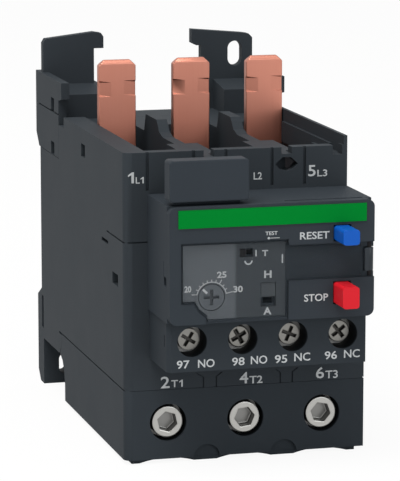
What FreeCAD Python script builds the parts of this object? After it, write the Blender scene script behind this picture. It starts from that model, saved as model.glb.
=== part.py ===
import FreeCAD, Part

import math
import os
import re

import Sketcher

# Thermal overload relay: three-pole, plug-in type, with a control module on its front.
# Millimetres. X runs across the poles, Y runs from the front to the mounting plane, Z is up.
# The origin is the middle of the overall box at the bottom, where the relay stands.

doc = FreeCAD.newDocument("overload_relay")

# ---------------------------------------------------------------- driving sizes
SIZES = {
    # moulded body
    "body_width": 55.0,
    "front_face": -32.65,
    "housing_depth": 84.5,
    "block_bottom": 1.0,
    "block_height": 15.6,
    "body_height": 68.5,
    "wall": 1.5,
    "front_wall": 3.0,
    "side_wall": 5.1,
    "corner_round": 1.8,
    "groove": 0.35,
    "fit_gap": 0.1,
    "overrun": 1.0,
    # poles
    "pole_pitch": 17.7,
    "chamber_half": 7.6,
    "chamber_depth": 60.0,
    "chamber_floor": 20.0,
    # tops of the walls, measured from the top of the front wall
    "wall_dip": 1.8,
    "crest_rise": 1.55,
    "crest_front": 40.0,
    "crest_rear": 50.0,
    "crest_run": 6.0,
    "deck_drop": 2.5,
    "tongue_drop": 1.5,
    "tongue_half": 3.6,
    "tongue_thick": 1.2,
    "tongue_front": 5.0,
    "tongue_rear": 21.6,
    "notch_half": 1.2,
    "right_wall": 0.8,
    "right_wall_rise": 2.1,
    "right_step_drop": 8.5,
    "rail_thick": 0.7,
    "rail_tall": 4.8,
    "rail_front": 8.7,
    "rail_rear": 20.0,
    "corner_notch": 2.2,
    # line bars
    "bar_width": 8.8,
    "bar_thick": 2.0,
    "bar_depth": 46.4,
    "bar_rise": 14.85,
    "bar_foot_height": 48.0,
    "bar_foot_front": 19.0,
    "bar_foot_half": 3.4,
    "bar_bevel": 1.3,
    "bar_lead_in": 0.8,
    "coin_drop": 5.0,
    "coin_tall": 3.3,
    "coin_wide": 2.9,
    "coin_deep": 0.45,
    "lid_gap": 0.5,
    "lid_thick": 2.0,
    # bimetals, heaters and load bars
    "strip_thick": 1.0,
    "strip_front": 16.5,
    "strip_rear": 22.5,
    "strip_bottom": 20.5,
    "strip_top": 46.0,
    "coil_half": 2.4,
    "coil_front": 14.9,
    "coil_rear": 24.6,
    "coil_wire": 0.9,
    "coil_pitch": 2.6,
    "coil_bottom": 25.5,
    "coil_turns": 5.0,
    "load_bar_half": 3.4,
    "load_bar_top": 24.0,
    # power clamps
    "cage_half": 6.4,
    "cage_side": 1.4,
    "cage_front": 5.4,
    "cage_nut": 3.4,
    "cage_bottom": 1.6,
    "cage_height": 11.8,
    "cage_rear": 26.6,
    "cage_back_wall": 2.0,
    "clamp_screw_height": 8.2,
    "clamp_screw_radius": 3.5,
    "clamp_screw_face": 0.7,
    "clamp_hole_radius": 4.2,
    "clamp_socket_flats": 4.0,
    "clamp_socket_depth": 2.6,
    "screw_clearance": 0.06,
    "seat_gap": 0.05,
    "jaw_thick": 2.0,
    "jaw_half": 4.7,
    "jaw_edge": 0.4,
    # cable guide under the block
    "guide_inset": 1.7,
    "guide_front": 1.2,
    "guide_rear": 30.0,
    "guide_height": 2.2,
    "guide_arch_radius": 22.0,
    "guide_arch_rise": 0.9,
    "mouth_half": 5.6,
    "mouth_front": 10.0,
    "mouth_rear": 23.0,
    "finger_radius": 3.1,
    # lower rear of the housing and the block, measured from the back of the chambers
    "ledge_height": 10.5,
    "gutter_back": 3.7,
    "gutter_reach": 3.5,
    "block_rear": 0.8,
    "block_foot": 4.0,
    "block_reach": 5.0,
    # rear base
    "base_standoff": 6.5,
    "base_plate": 2.0,
    "flange_gap": 2.5,
    "flange_drop": 10.5,
    "flange_rise": 7.8,
    "flange_wall": 2.0,
    "flange_cut": 3.2,
    "shelf_depth": 16.0,
    "shelf_rise": 4.8,
    "shelf_slope": 1.4,
    "left_shelf": 14.5,
    "right_shelf": 11.6,
    "ear_setback": 0.5,
    "ear_thick": 2.5,
    "ear_rise": 17.3,
    "ear_inset": 0.6,
    "left_ear_width": 12.65,
    "right_ear_inset": 1.6,
    "right_ear_width": 13.1,
    "hook_reach": 2.4,
    "hook_tall": 4.0,
    "ear_slot_width": 3.6,
    "ear_slot_length": 6.1,
    "ear_slot_inset": 6.1,
    "ear_slot_drop": 6.2,
    "foot_ear_width": 12.0,
    "foot_ear_top": 20.6,
    "foot_slope": 2.6,
    "foot_slot_width": 3.0,
    "foot_slot_length": 5.2,
    "foot_slot_inset": 5.3,
    "foot_slot_height": 3.8,
    # control module
    "module_left": 22.3,
    "module_right": 23.3,
    "module_depth": 19.2,
    "module_bottom": 33.9,
    "module_top": 59.4,
    "module_wall": 1.4,
    "bezel_thick": 2.4,
    "bezel_corner": 1.6,
    "cover_recess": 0.7,
    "band_inset": 1.9,
    "band_bottom": 54.8,
    "band_height": 3.9,
    "band_thick": 0.25,
    # setting plate, dial, selector and test slide
    "plate_left": 19.3,
    "plate_right": 3.5,
    "plate_bottom": 34.8,
    "plate_top": 51.0,
    "plate_thick": 0.8,
    "dial_place": 12.9,
    "dial_height": 39.6,
    "dial_radius": 2.8,
    "dial_thick": 0.9,
    "dial_shaft": 1.6,
    "cross_length": 3.4,
    "cross_width": 0.7,
    "cross_depth": 0.4,
    "cam_radius": 3.0,
    "cam_throw": 0.9,
    "cam_thick": 2.4,
    "cam_depth": 12.5,
    "selector_place": 0.3,
    "selector_half": 1.6,
    "selector_height": 40.6,
    "selector_length": 3.0,
    "selector_travel": 2.0,
    "test_place": 5.9,
    "test_height": 48.9,
    "test_half": 0.7,
    "test_tall": 0.75,
    "test_travel": 1.4,
    "catch_thick": 1.2,
    # buttons
    "button_place": 16.05,
    "button_half": 1.85,
    "button_proud": 6.5,
    "button_travel": 3.0,
    "reset_height": 52.35,
    "reset_tall": 3.3,
    "stop_height": 39.3,
    "stop_tall": 4.75,
    "button_gap": 0.15,
    "button_round": 0.7,
    "collar_reach": 0.6,
    "collar_thick": 1.2,
    "stem_radius": 1.3,
    "stem_clearance": 0.08,
    "stem_rest": 3.5,
    "boss_half": 2.4,
    "boss_length": 6.6,
    "spring_radius": 2.0,
    "spring_wire": 0.4,
    "spring_turns": 3.0,
    # window cover
    "cover_left": 19.5,
    "cover_right": 3.7,
    "cover_bottom": 34.4,
    "cover_top": 51.2,
    "cover_notch": 5.45,
    "cover_notch_top": 38.7,
    "cover_gap": 0.3,
    "cover_thick": 1.0,
    "cover_proud": 0.4,
    "arm_bottom": 42.8,
    "arm_top": 49.9,
    "arm_neck": 2.0,
    "hinge_place": 22.35,
    "hinge_back": 0.45,
    "hinge_barrel": 0.95,
    "hinge_pin": 0.5,
    "hinge_length": 5.0,
    "hinge_hold": 1.2,
    # marker plate
    "marker_left": 22.1,
    "marker_right": 4.6,
    "marker_front": 18.6,
    "marker_thick": 4.6,
    "marker_bottom": 60.3,
    "marker_top": 69.2,
    "marker_round": 0.8,
    "marker_foot": 1.3,
    # auxiliary terminals
    "aux_left": 21.9,
    "aux_right": 22.7,
    "aux_depth": 15.5,
    "aux_bottom": 22.9,
    "aux_chamfer": 0.9,
    "aux_pitch": 11.3,
    "aux_centre": 0.6,
    "aux_screw_height": 29.4,
    "aux_head_radius": 2.4,
    "aux_head_length": 2.4,
    "aux_head_face": 12.3,
    "aux_hole_radius": 3.3,
    "aux_slot_half": 1.7,
    "aux_slot_width": 0.7,
    "aux_slot_depth": 1.3,
    "aux_screw_radius": 1.4,
    "aux_screw_end": 3.2,
    "aux_plate_half": 3.2,
    "aux_plate_thick": 1.2,
    "aux_room_half": 3.9,
    "aux_room_gap": 0.2,
    "aux_mouth_half": 3.3,
    "aux_mouth_front": 9.7,
    "contact_back": 4.0,
    "contact_thick": 1.0,
    "contact_nut": 2.4,
    "contact_leg": 2.0,
    # tripping gear
    "slide_front": 11.5,
    "slide_rear": 13.7,
    "slide_half": 21.4,
    "slide_bottom": 43.0,
    "slide_tall": 2.8,
    "slide_room": 0.1,
    "finger_gap": 0.4,
    "finger_thick": 1.3,
    "lever_pivot": 1.5,
    "lever_half": 1.0,
    "lever_front": 10.0,
    "lever_pin": 1.0,
    "lever_boss": 2.1,
    "lever_way": 4.0,
    "pin_hold": 2.5,
    "bridge_travel": 1.9,
    "contact_gap": 0.05,
    "contact_half": 5.0,
    "pad_reach": 1.5,
}

sheet = doc.addObject("Spreadsheet::Sheet", "sizes")
for row, (alias, number) in enumerate(SIZES.items(), start=1):
    sheet.set(f"A{row}", alias)
    sheet.set(f"B{row}", str(number))
    sheet.setAlias(f"B{row}", alias)
doc.recompute()

MATHS = {"min", "max", "sin", "cos", "tan", "sqrt", "pi"}


def cells(formula):
    """A formula of plain size names, written with the sheet's cells."""
    return re.sub(
        r"[a-z][a-z_]+",
        lambda word: word.group(0) if word.group(0) in MATHS else "sizes." + word.group(0),
        str(formula),
    )


def number(formula):
    """What a formula of size names comes to, for shapes that are not bound by expressions."""
    used = set(re.findall(r"[a-z][a-z_]+", formula)) & set(SIZES)
    values = {alias: repr(float(sheet.get(alias))) for alias in used}
    return FreeCAD.Units.Quantity(re.sub(r"[a-z][a-z_]+", lambda word: values[word.group(0)], formula)).Value


# ---------------------------------------------------------------- places
HALF = "(body_width / 2)"
CHAMBER_OUTER = "(body_width / 2 - side_wall)"
RIGHT_WALL_FACE = "(body_width / 2 - side_wall + right_wall)"
MOUNTING_DEPTH = "(housing_depth + base_standoff)"
SHELF_FRONT = "(housing_depth + base_standoff - shelf_depth)"
FLANGE_FRONT = "(chamber_depth + flange_gap)"
FLANGE_BOTTOM = "(body_height - flange_drop)"
DECK = "(body_height - deck_drop)"


def deep(distance):
    """Y of a plane this far behind the front face of the housing."""
    return f"(front_face + ({distance}))"


def fore(distance):
    """Y of a plane this far in front of the front face of the housing."""
    return f"(front_face - ({distance}))"


def high(distance):
    """Z of a level this far above the lower edge of the terminal block."""
    return f"(block_bottom + ({distance}))"


def pole(index):
    """X of the middle of a pole, 0 to 2 from the left."""
    return f"({index - 1} * pole_pitch)"


def aux(index):
    """X of the middle of an auxiliary terminal, 0 to 3 from the left."""
    return f"(aux_centre + {index - 1.5} * aux_pitch)"


POLES = range(3)
AUXES = range(4)

# ---------------------------------------------------------------- building blocks


def bind(thing, **formulas):
    for prop, formula in formulas.items():
        thing.setExpression(prop.replace("__", "."), cells(formula))
    return thing


def place(thing, x, y, z):
    return bind(thing, Placement__Base__x=x, Placement__Base__y=y, Placement__Base__z=z)


def box(name, x_span, y_span, z_span):
    """A block between two formulas along each axis."""
    solid = doc.addObject("Part::Box", name)
    spans = (x_span, y_span, z_span)
    for side, (low, top) in zip(("Length", "Width", "Height"), spans):
        solid.setExpression(side, cells(f"({top}) - ({low})"))
    return place(solid, x_span[0], y_span[0], z_span[0])


TURNS = {
    "x": FreeCAD.Rotation(FreeCAD.Vector(0, 1, 0), 90),
    "y": FreeCAD.Rotation(FreeCAD.Vector(1, 0, 0), -90),
    "z": FreeCAD.Rotation(),
}


def rod(name, axis, at, radius, length):
    """A round bar that starts at a point and runs along an axis."""
    solid = doc.addObject("Part::Cylinder", name)
    solid.Placement = FreeCAD.Placement(FreeCAD.Vector(), TURNS[axis])
    bind(solid, Radius=radius, Height=length)
    return place(solid, *at)


def fuse(name, solids):
    if len(solids) == 1:
        return solids[0]
    joined = doc.addObject("Part::MultiFuse", name)
    joined.Shapes = list(solids)
    joined.Refine = True
    return joined


def cut(name, base, tools):
    """A base less its tools."""
    tool = fuse(name + "_tools", tools)
    result = doc.addObject("Part::Cut", name)
    result.Base = base
    result.Tool = tool
    result.Refine = True
    return result


def group(name, solids):
    """Like solids that are made as one sub-part and stay separate."""
    several = doc.addObject("Part::Compound", name)
    several.Links = list(solids)
    return several


def mirrored(side, near, far):
    """The X span between two distances from the middle, on the left for -1 and the right for 1."""
    return (near, far) if side > 0 else (f"-({far})", f"-({near})")


def origin_plane(body, role):
    return next(plane for plane in body.Origin.OriginFeatures if plane.Role == role)


def outline(sketch, corners):
    """A closed outline of straight runs whose corners are bound to the sheet."""
    points = [(number(u), number(v)) for u, v in corners]
    count = len(points)
    for index in range(count):
        start = FreeCAD.Vector(*points[index], 0)
        end = FreeCAD.Vector(*points[(index + 1) % count], 0)
        sketch.addGeometry(Part.LineSegment(start, end), False)
    for index in range(count):
        sketch.addConstraint(Sketcher.Constraint("Coincident", index, 2, (index + 1) % count, 1))
    for index, (u, v) in enumerate(corners):
        for kind, formula, value in (("DistanceX", u, points[index][0]), ("DistanceY", v, points[index][1])):
            place_at = sketch.addConstraint(Sketcher.Constraint(kind, -1, 1, index, 1, value))
            sketch.setExpression(f"Constraints[{place_at}]", cells(formula))


def prism(name, plane, corners, start, length):
    """A body padded from an outline on a plane through the origin, from start along the normal."""
    body = doc.addObject("PartDesign::Body", name)
    sketch = body.newObject("Sketcher::SketchObject", name + "_outline")
    sketch.AttachmentSupport = [(origin_plane(body, plane), "")]
    sketch.MapMode = "FlatFace"
    sketch.setExpression("AttachmentOffset.Base.z", cells(start))
    outline(sketch, corners)
    pad = body.newObject("PartDesign::Pad", name + "_pad")
    pad.Profile = sketch
    pad.setExpression("Length", cells(length))
    doc.recompute()
    return body


def rounded(name, base, radius, keep):
    """The base with a fillet on each edge for which keep says yes."""
    doc.recompute()
    fillet = doc.addObject("Part::Fillet", name)
    fillet.Base = base
    size = number(str(radius))
    chosen = [place_at for place_at, edge in enumerate(base.Shape.Edges, start=1) if keep(edge)]
    fillet.Edges = [(place_at, size, size) for place_at in chosen]
    return fillet


def runs_along(edge, axis):
    """Whether an edge is straight and lies along an axis."""
    if edge.Curve.TypeId != "Part::GeomLine":
        return False
    return abs(abs(edge.Curve.Direction.dot(axis)) - 1.0) < 1e-6


Y_AXIS = FreeCAD.Vector(0, 1, 0)
Z_AXIS = FreeCAD.Vector(0, 0, 1)

nodes = {}


def keep_as(label, thing):
    """Names a finished sub-part; its label is the name of its file."""
    thing.Label = label
    nodes[label] = thing
    return thing


# ---------------------------------------------------------------- power housing
# The large moulding: three chambers open at the top, parted by two crested walls, a front wall
# with shallow grooves, and a bay at the back that the mounting base closes.
BLOCK_TOP = high("block_height")
HOUSING_TOP = high("body_height")
HOUSING_REAR = deep("housing_depth")
CHAMBER_REAR = deep("chamber_depth")


def chamber_span(index):
    """The X span of a pole's chamber: the outer two reach to the side walls."""
    low = f"-{CHAMBER_OUTER}" if index == 0 else f"{pole(index)} - chamber_half"
    top = CHAMBER_OUTER if index == 2 else f"{pole(index)} + chamber_half"
    return (low, top)


def front_left(edge):
    """Whether an edge is the upright one at the front of the left side."""
    middle = edge.CenterOfMass
    return runs_along(edge, Z_AXIS) and middle.x < 0 and abs(middle.y - number("front_face")) < 0.01


# The lower rear edge is hollowed in four points, from the block's top to the ledge above it.
GUTTER = ((0, 1), (0.4, 0.29), (0.69, 0.08), (1, 0))
housing_profile = [(deep(0), BLOCK_TOP)]
housing_profile += [
    (
        deep(f"chamber_depth + gutter_back + {along} * gutter_reach"),
        high(f"ledge_height + {up} * (block_height - ledge_height)"),
    )
    for along, up in GUTTER
]
housing_profile += [
    (HOUSING_REAR, high("ledge_height")),
    (HOUSING_REAR, high(f"{FLANGE_BOTTOM} - fit_gap")),
    (deep(f"{SHELF_FRONT} - fit_gap"), high(f"{FLANGE_BOTTOM} - fit_gap")),
    (deep(f"{SHELF_FRONT} - fit_gap"), high(DECK)),
    (CHAMBER_REAR, high(DECK)),
    (CHAMBER_REAR, HOUSING_TOP),
    (deep(0), HOUSING_TOP),
]
housing_block = prism("housing_block", "YZ_Plane", housing_profile, "-body_width / 2", "body_width")
housing_round = rounded("housing_round", housing_block, "corner_round", front_left)
chamber_pocket = box(
    "chamber_pocket",
    (f"-{CHAMBER_OUTER}", CHAMBER_OUTER),
    (deep("front_wall"), CHAMBER_REAR),
    (high("chamber_floor"), high("body_height + overrun")),
)
housing_tub = cut("housing_tub", housing_round, [chamber_pocket])

# Each parting wall dips behind the front wall and rises in a curve to a crest beside the bars.
CURVE = ((0, 0), (0.57, 0.25), (0.79, 0.7), (1, 1))
wall_profile = [
    (deep("front_wall - overrun"), high("chamber_floor - overrun")),
    (deep("chamber_depth + overrun"), high("chamber_floor - overrun")),
    (deep("chamber_depth + overrun"), high(DECK)),
    (deep("crest_rear + crest_rise"), high(DECK)),
    (deep("crest_rear"), high("body_height + crest_rise")),
]
wall_profile += [
    (
        deep(f"crest_front - crest_run * (1 - {along})"),
        high(f"body_height - wall_dip + {up} * (wall_dip + crest_rise)"),
    )
    for along, up in reversed(CURVE)
]
wall_profile.append((deep("front_wall - overrun"), high("body_height - wall_dip")))
housing_parts = [housing_tub]
for side, label in ((-1, "left"), (1, "right")):
    wall_x = f"({side} * pole_pitch / 2)"
    housing_parts.append(
        prism(
            f"{label}_parting_wall",
            "YZ_Plane",
            wall_profile,
            f"{wall_x} - (pole_pitch - 2 * chamber_half) / 2",
            "pole_pitch - 2 * chamber_half",
        )
    )
    # A flat tongue lies on the wall behind the latch notch.
    housing_parts.append(
        box(
            f"{label}_tongue",
            (f"{wall_x} - tongue_half", f"{wall_x} + tongue_half"),
            (deep("tongue_front"), deep("tongue_rear")),
            (high("body_height - tongue_drop - tongue_thick"), high("body_height - tongue_drop")),
        )
    )
    housing_parts.append(
        box(
            f"{label}_tongue_neck",
            (f"{wall_x} - notch_half + right_wall / 2", f"{wall_x} + notch_half + right_wall / 2"),
            (deep("front_wall - overrun"), deep("tongue_front + overrun")),
            (high("body_height - tongue_drop - tongue_thick"), high("body_height - tongue_drop")),
        )
    )
housing_parts.append(
    box(
        "right_lip",
        (CHAMBER_OUTER, RIGHT_WALL_FACE),
        (deep(0), deep(f"{FLANGE_FRONT} - fit_gap")),
        (high("body_height - right_step_drop"), high("body_height + right_wall_rise")),
    )
)
# Two guide rails inside the right wall.
housing_parts.append(
    box(
        "right_rail",
        (f"{CHAMBER_OUTER} - rail_thick", f"{CHAMBER_OUTER} + right_wall / 2"),
        (deep("rail_front"), deep("bar_depth - bar_lead_in")),
        (high("body_height - rail_thick - rail_tall"), high("body_height - rail_thick")),
    )
)
housing_parts.append(
    box(
        "short_rail",
        (f"{CHAMBER_OUTER} - 2 * rail_thick", f"{CHAMBER_OUTER} + right_wall / 2"),
        (deep("front_wall - overrun"), deep("rail_rear")),
        (high("body_height - rail_thick - rail_tall"), high("body_height - 3 * rail_thick")),
    )
)
housing_solid = fuse("housing_solid", housing_parts)

housing_cuts = []
for index in POLES:
    housing_cuts.append(
        box(
            f"load_bar_way_{index + 1}",
            (f"{pole(index)} - load_bar_half - slide_room", f"{pole(index)} + load_bar_half + slide_room"),
            (deep("strip_rear - slide_room"), deep("cage_rear - cage_back_wall + slide_room")),
            (high("block_height - overrun"), high("chamber_floor + overrun")),
        )
    )
for side in (-1, 1):
    # The window in each parting wall that lets the trip slides pass.
    wall_x = f"{side} * pole_pitch / 2"
    housing_cuts.append(
        box(
            f"slide_window_{side + 2}",
            (f"{wall_x} - bar_thick", f"{wall_x} + bar_thick"),
            (deep("slide_front - slide_room"), deep("slide_rear + slide_room")),
            (
                high("slide_bottom - slide_tall - 2 * slide_room"),
                high("slide_bottom + slide_tall + slide_room"),
            ),
        )
    )
# The step in the right side, beside the top of the third chamber, and the notch at its corner.
housing_cuts.append(
    box(
        "right_step",
        (RIGHT_WALL_FACE, f"{HALF} + overrun"),
        (fore("overrun"), deep(f"{FLANGE_FRONT} - fit_gap")),
        (high("body_height - right_step_drop"), high("body_height + right_wall_rise + overrun")),
    )
)
housing_cuts.append(
    box(
        "corner_notch",
        (f"{CHAMBER_OUTER} - groove - corner_notch", f"{CHAMBER_OUTER} - groove"),
        (fore("overrun"), deep("front_wall")),
        (high("body_height - 3 * rail_thick"), high("body_height + overrun")),
    )
)
# The base's side walls stand beside the top of the housing.
for side in (-1, 1):
    housing_cuts.append(
        box(
            f"flange_seat_{side + 2}",
            mirrored(side, f"{HALF} - flange_wall - fit_gap", f"{HALF} + overrun"),
            (deep(f"{FLANGE_FRONT} + flange_cut - fit_gap"), deep("housing_depth + overrun")),
            (high(f"{FLANGE_BOTTOM} - fit_gap"), high("body_height + right_wall_rise + overrun")),
        )
    )
# The bay at the back, behind the chambers.
housing_cuts.append(
    box(
        "rear_bay",
        (f"-{HALF} + 2 * wall", f"{HALF} - 2 * wall"),
        (deep("chamber_depth + wall"), deep("housing_depth + overrun")),
        (high("ledge_height + 5 * wall"), high(f"{FLANGE_BOTTOM} - 3 * wall")),
    )
)
# The window in the front wall where the trip lever passes, and the holes for its pin.
housing_cuts.append(
    box(
        "lever_window",
        ("-lever_way", "lever_way"),
        (fore("overrun"), deep("front_wall + overrun")),
        (high("slide_bottom"), high("slide_bottom + slide_tall")),
    )
)
PIN_FOOT = ("0", deep("lever_pivot"), high("slide_bottom - pin_hold"))
housing_cuts.append(rod("lever_pin_hole", "z", PIN_FOOT, "lever_pin", "slide_tall + 2 * pin_hold"))

# Upright grooves in the front wall, on each side of the poles' marks.
for count, place_x in enumerate(("-22.3", "-11.9", "-4.6", "5.9", "13.35"), start=1):
    housing_cuts.append(
        box(
            f"groove_{count}",
            (f"{place_x} - groove", f"{place_x} + groove"),
            (fore("overrun"), deep("2 * groove")),
            (high("module_top + 2 * groove"), high("body_height + overrun")),
        )
    )
# The latch notch above an eye-shaped hole, once behind the marker plate and once beside it.
EYE_LOW = ((-2.6, 0), (-1.5, -1.15), (0, -1.6), (1.5, -1.15), (2.6, 0))
EYE_TOP = ((1.5, 1.0), (0.9, 1.5), (-0.9, 1.5), (-1.5, 1.0))
for count, place_x in enumerate(("-8.45", "9.25"), start=1):
    housing_cuts.append(
        prism(
            f"latch_eye_{count}",
            "XZ_Plane",
            [(f"{place_x} + {x}", high(f"body_height - 3.7 + {z}")) for x, z in EYE_LOW + EYE_TOP],
            f"-({deep('front_wall + overrun')})",
            "front_wall + 2 * overrun",
        )
    )
    housing_cuts.append(
        box(
            f"latch_notch_{count}",
            (f"{place_x} - notch_half", f"{place_x} + notch_half"),
            (fore("overrun"), deep("front_wall")),
            (high("body_height - tongue_drop"), high("body_height + overrun")),
        )
    )
# Forked grooves between the poles' lower marks: an upright run and a leg that slopes away.
FORKS = ((-9.68, -1.48), (-6.72, 1.27), (8.0, -1.07), (10.78, 1.28))
for count, (place_x, lean) in enumerate(FORKS, start=1):
    knee = high("block_height + 2.4")
    tip = high("block_height + 3.3")
    fork = [
        (f"{place_x} - groove / 2", high("block_height - overrun")),
        (f"{place_x} + groove / 2", high("block_height - overrun")),
        (f"{place_x} + groove / 2", knee),
        (f"{place_x + lean} + groove / 2", tip),
        (f"{place_x + lean} - groove / 2", tip),
        (f"{place_x} - groove / 2", knee),
    ]
    housing_cuts.append(prism(f"fork_{count}", "XZ_Plane", fork, f"-({deep('groove')})", "groove + overrun"))
# The seam of the front moulding on the left side and on the front, a third of the way down.
SEAM = (high("body_height - 19.9"), high("body_height - 19.9 + groove"))
for label, inner, rear in (
    ("side_seam", f"-{HALF} + groove", deep("front_wall + 9 * wall")),
    ("front_seam", "-module_left", deep("groove")),
):
    housing_cuts.append(box(label, (f"-{HALF} - overrun", inner), (fore("overrun"), rear), SEAM))
# Small windows in the left side.
for count, (y0, y1, drop, tall) in enumerate(
    ((37.7, 41.7, 6.5, 3.0), (15.3, 21.5, 22.6, 0.8), (6.0, 11.3, 30.5, 2.6)), start=1
):
    housing_cuts.append(
        box(
            f"side_window_{count}",
            (f"-{HALF} - overrun", f"-{HALF} + wall"),
            (deep(y0), deep(y1)),
            (high(f"body_height - {drop}"), high(f"body_height - {drop} + {tall}")),
        )
    )
keep_as("power_housing", cut("power_housing_cut", housing_solid, housing_cuts))

# ---------------------------------------------------------------- load terminal block
# The lower moulding: three clamp chambers open downwards, a screw hole in front of each,
# and a hollow at the back that clears the edge of the panel.
HOLLOW = ((0, 0), (0.14, 0.46), (0.5, 0.82), (1, 1))
block_profile = [(deep(0), high(0)), (deep("chamber_depth + block_rear"), high(0))]
block_profile += [
    (
        deep(f"chamber_depth + block_rear + {along} * block_reach"),
        high(f"block_foot + {up} * (ledge_height - block_foot)"),
    )
    for along, up in HOLLOW
]
block_profile += [
    (
        deep(f"chamber_depth + gutter_back + {GUTTER[1][0]} * gutter_reach - fit_gap"),
        high(f"ledge_height + {GUTTER[1][1]} * (block_height - ledge_height)"),
    ),
    (deep("chamber_depth + gutter_back - fit_gap"), BLOCK_TOP),
    (deep(0), BLOCK_TOP),
]
block_solid = prism("terminal_block_body", "YZ_Plane", block_profile, "-body_width / 2", "body_width")
block_round = rounded("terminal_block_round", block_solid, "corner_round", front_left)
block_cuts = []
for index in POLES:
    block_cuts.append(
        box(
            f"clamp_chamber_{index + 1}",
            (f"{pole(index)} - cage_half", f"{pole(index)} + cage_half"),
            (deep("cage_front"), deep("cage_rear")),
            (high("-overrun"), high("cage_bottom + cage_height")),
        )
    )
    block_cuts.append(
        box(
            f"load_bar_slot_{index + 1}",
            (f"{pole(index)} - load_bar_half - slide_room", f"{pole(index)} + load_bar_half + slide_room"),
            (deep("strip_rear - slide_room"), deep("cage_rear - cage_back_wall + slide_room")),
            (high("cage_bottom"), high("block_height + overrun")),
        )
    )
    block_cuts.append(
        rod(
            f"clamp_screw_hole_{index + 1}",
            "y",
            (pole(index), fore("overrun"), high("clamp_screw_height")),
            "clamp_hole_radius",
            "cage_front + 2 * overrun",
        )
    )
for side in (-1, 1):
    block_cuts.append(
        rod(
            f"finger_notch_{side + 2}",
            "y",
            (f"{side} * pole_pitch / 2", fore("overrun"), high("-groove")),
            "finger_radius",
            "2 * overrun",
        )
    )
block_cuts.append(
    box(
        "guide_seat",
        (f"-{HALF} + guide_inset - fit_gap", f"{HALF} - guide_inset + fit_gap"),
        (deep("guide_front - fit_gap"), deep("guide_rear + fit_gap")),
        (high("-overrun"), high("guide_height - block_bottom")),
    )
)
keep_as("load_terminal_block", cut("terminal_block_cut", block_round, block_cuts))

# ---------------------------------------------------------------- cable guide
# The frame under the block that leads each cable into its clamp; it is the foot in front.
guide_solid = box(
    "guide_frame",
    (f"-{HALF} + guide_inset", f"{HALF} - guide_inset"),
    (deep("guide_front"), deep("guide_rear")),
    ("0", "guide_height"),
)
guide_cuts = []
for index in POLES:
    guide_cuts.append(
        box(
            f"cable_mouth_{index + 1}",
            (f"{pole(index)} - mouth_half", f"{pole(index)} + mouth_half"),
            (deep("mouth_front"), deep("mouth_rear")),
            ("-overrun", "guide_height + overrun"),
        )
    )
    guide_cuts.append(
        rod(
            f"guide_arch_{index + 1}",
            "y",
            (pole(index), deep("guide_front - overrun"), "guide_arch_rise - guide_arch_radius"),
            "guide_arch_radius",
            "mouth_front - guide_front + 2 * overrun",
        )
    )
keep_as("cable_guide", cut("cable_guide_cut", guide_solid, guide_cuts))

# ---------------------------------------------------------------- mounting base
# The rear moulding: a plate behind the housing, a low deck between two raised shelves, side
# walls, an ear above each shelf, a foot ear below, and a channel across the back.
BASE_REAR = deep(MOUNTING_DEPTH)
PLATE_REAR = deep("housing_depth + base_plate")
SHELF_TOP = "(body_height + shelf_rise)"
EAR_TOP = "(body_height + ear_rise)"
base_parts = [
    box("base_plate", (f"-{HALF}", HALF), (HOUSING_REAR, PLATE_REAR), (high("ledge_height"), high(DECK))),
    box("base_deck", (f"-{HALF}", HALF), (deep(SHELF_FRONT), PLATE_REAR), (high(FLANGE_BOTTOM), high(DECK))),
]
shelf_profile = [
    (deep(SHELF_FRONT), high(FLANGE_BOTTOM)),
    (deep(f"{MOUNTING_DEPTH} - flange_cut"), high(FLANGE_BOTTOM)),
    (BASE_REAR, high(f"{FLANGE_BOTTOM} + flange_cut")),
    (BASE_REAR, high(SHELF_TOP)),
    (deep("housing_depth + ear_setback"), high(SHELF_TOP)),
    (deep(SHELF_FRONT), high(f"{SHELF_TOP} - shelf_slope")),
]
for label, start in (("left_shelf", f"-{HALF}"), ("right_shelf", f"{HALF} - right_shelf")):
    base_parts.append(prism(f"{label}_block", "YZ_Plane", shelf_profile, start, label))

# Each ear leans to its hook, which points to the middle, and its outer corner is blunted.
left_edge = f"(-{HALF} + ear_inset)"
left_neck = f"({left_edge} + left_ear_width)"
left_ear = [
    (left_edge, high(DECK)),
    (left_edge, high(f"{EAR_TOP} - hook_reach")),
    (f"{left_edge} + ear_inset", high(f"{EAR_TOP} - shelf_slope")),
    (left_neck, high(EAR_TOP)),
    (f"{left_neck} + hook_reach - ear_inset", high(f"{EAR_TOP} - ear_inset / 2")),
    (f"{left_neck} + hook_reach", high(f"{EAR_TOP} - 2 * ear_inset")),
    (f"{left_neck} + hook_reach", high(f"{EAR_TOP} - hook_tall")),
    (left_neck, high(f"{EAR_TOP} - hook_tall")),
    (left_neck, high(DECK)),
]
right_edge = f"({HALF} - right_ear_inset)"
right_neck = f"({right_edge} - right_ear_width)"
right_ear = [
    (right_neck, high(DECK)),
    (right_neck, high(f"{EAR_TOP} - hook_tall")),
    (f"{right_neck} - hook_reach / 2", high(f"{EAR_TOP} - hook_tall")),
    (f"{right_neck} - hook_reach", high(f"{EAR_TOP} - hook_tall + ear_inset")),
    (f"{right_neck} - hook_reach", high(EAR_TOP)),
    (f"{right_edge} - hook_reach", high(f"{EAR_TOP} - 2 * ear_inset")),
    (f"{right_edge} - 1.6 * ear_inset", high(f"{EAR_TOP} - 2.4 * ear_inset")),
    (right_edge, high(f"{EAR_TOP} - hook_reach")),
    (right_edge, high(DECK)),
]
for label, corners in (("left", left_ear), ("right", right_ear)):
    start = f"-({deep('housing_depth + ear_setback + ear_thick')})"
    base_parts.append(prism(f"{label}_ear", "XZ_Plane", corners, start, "ear_thick"))

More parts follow.
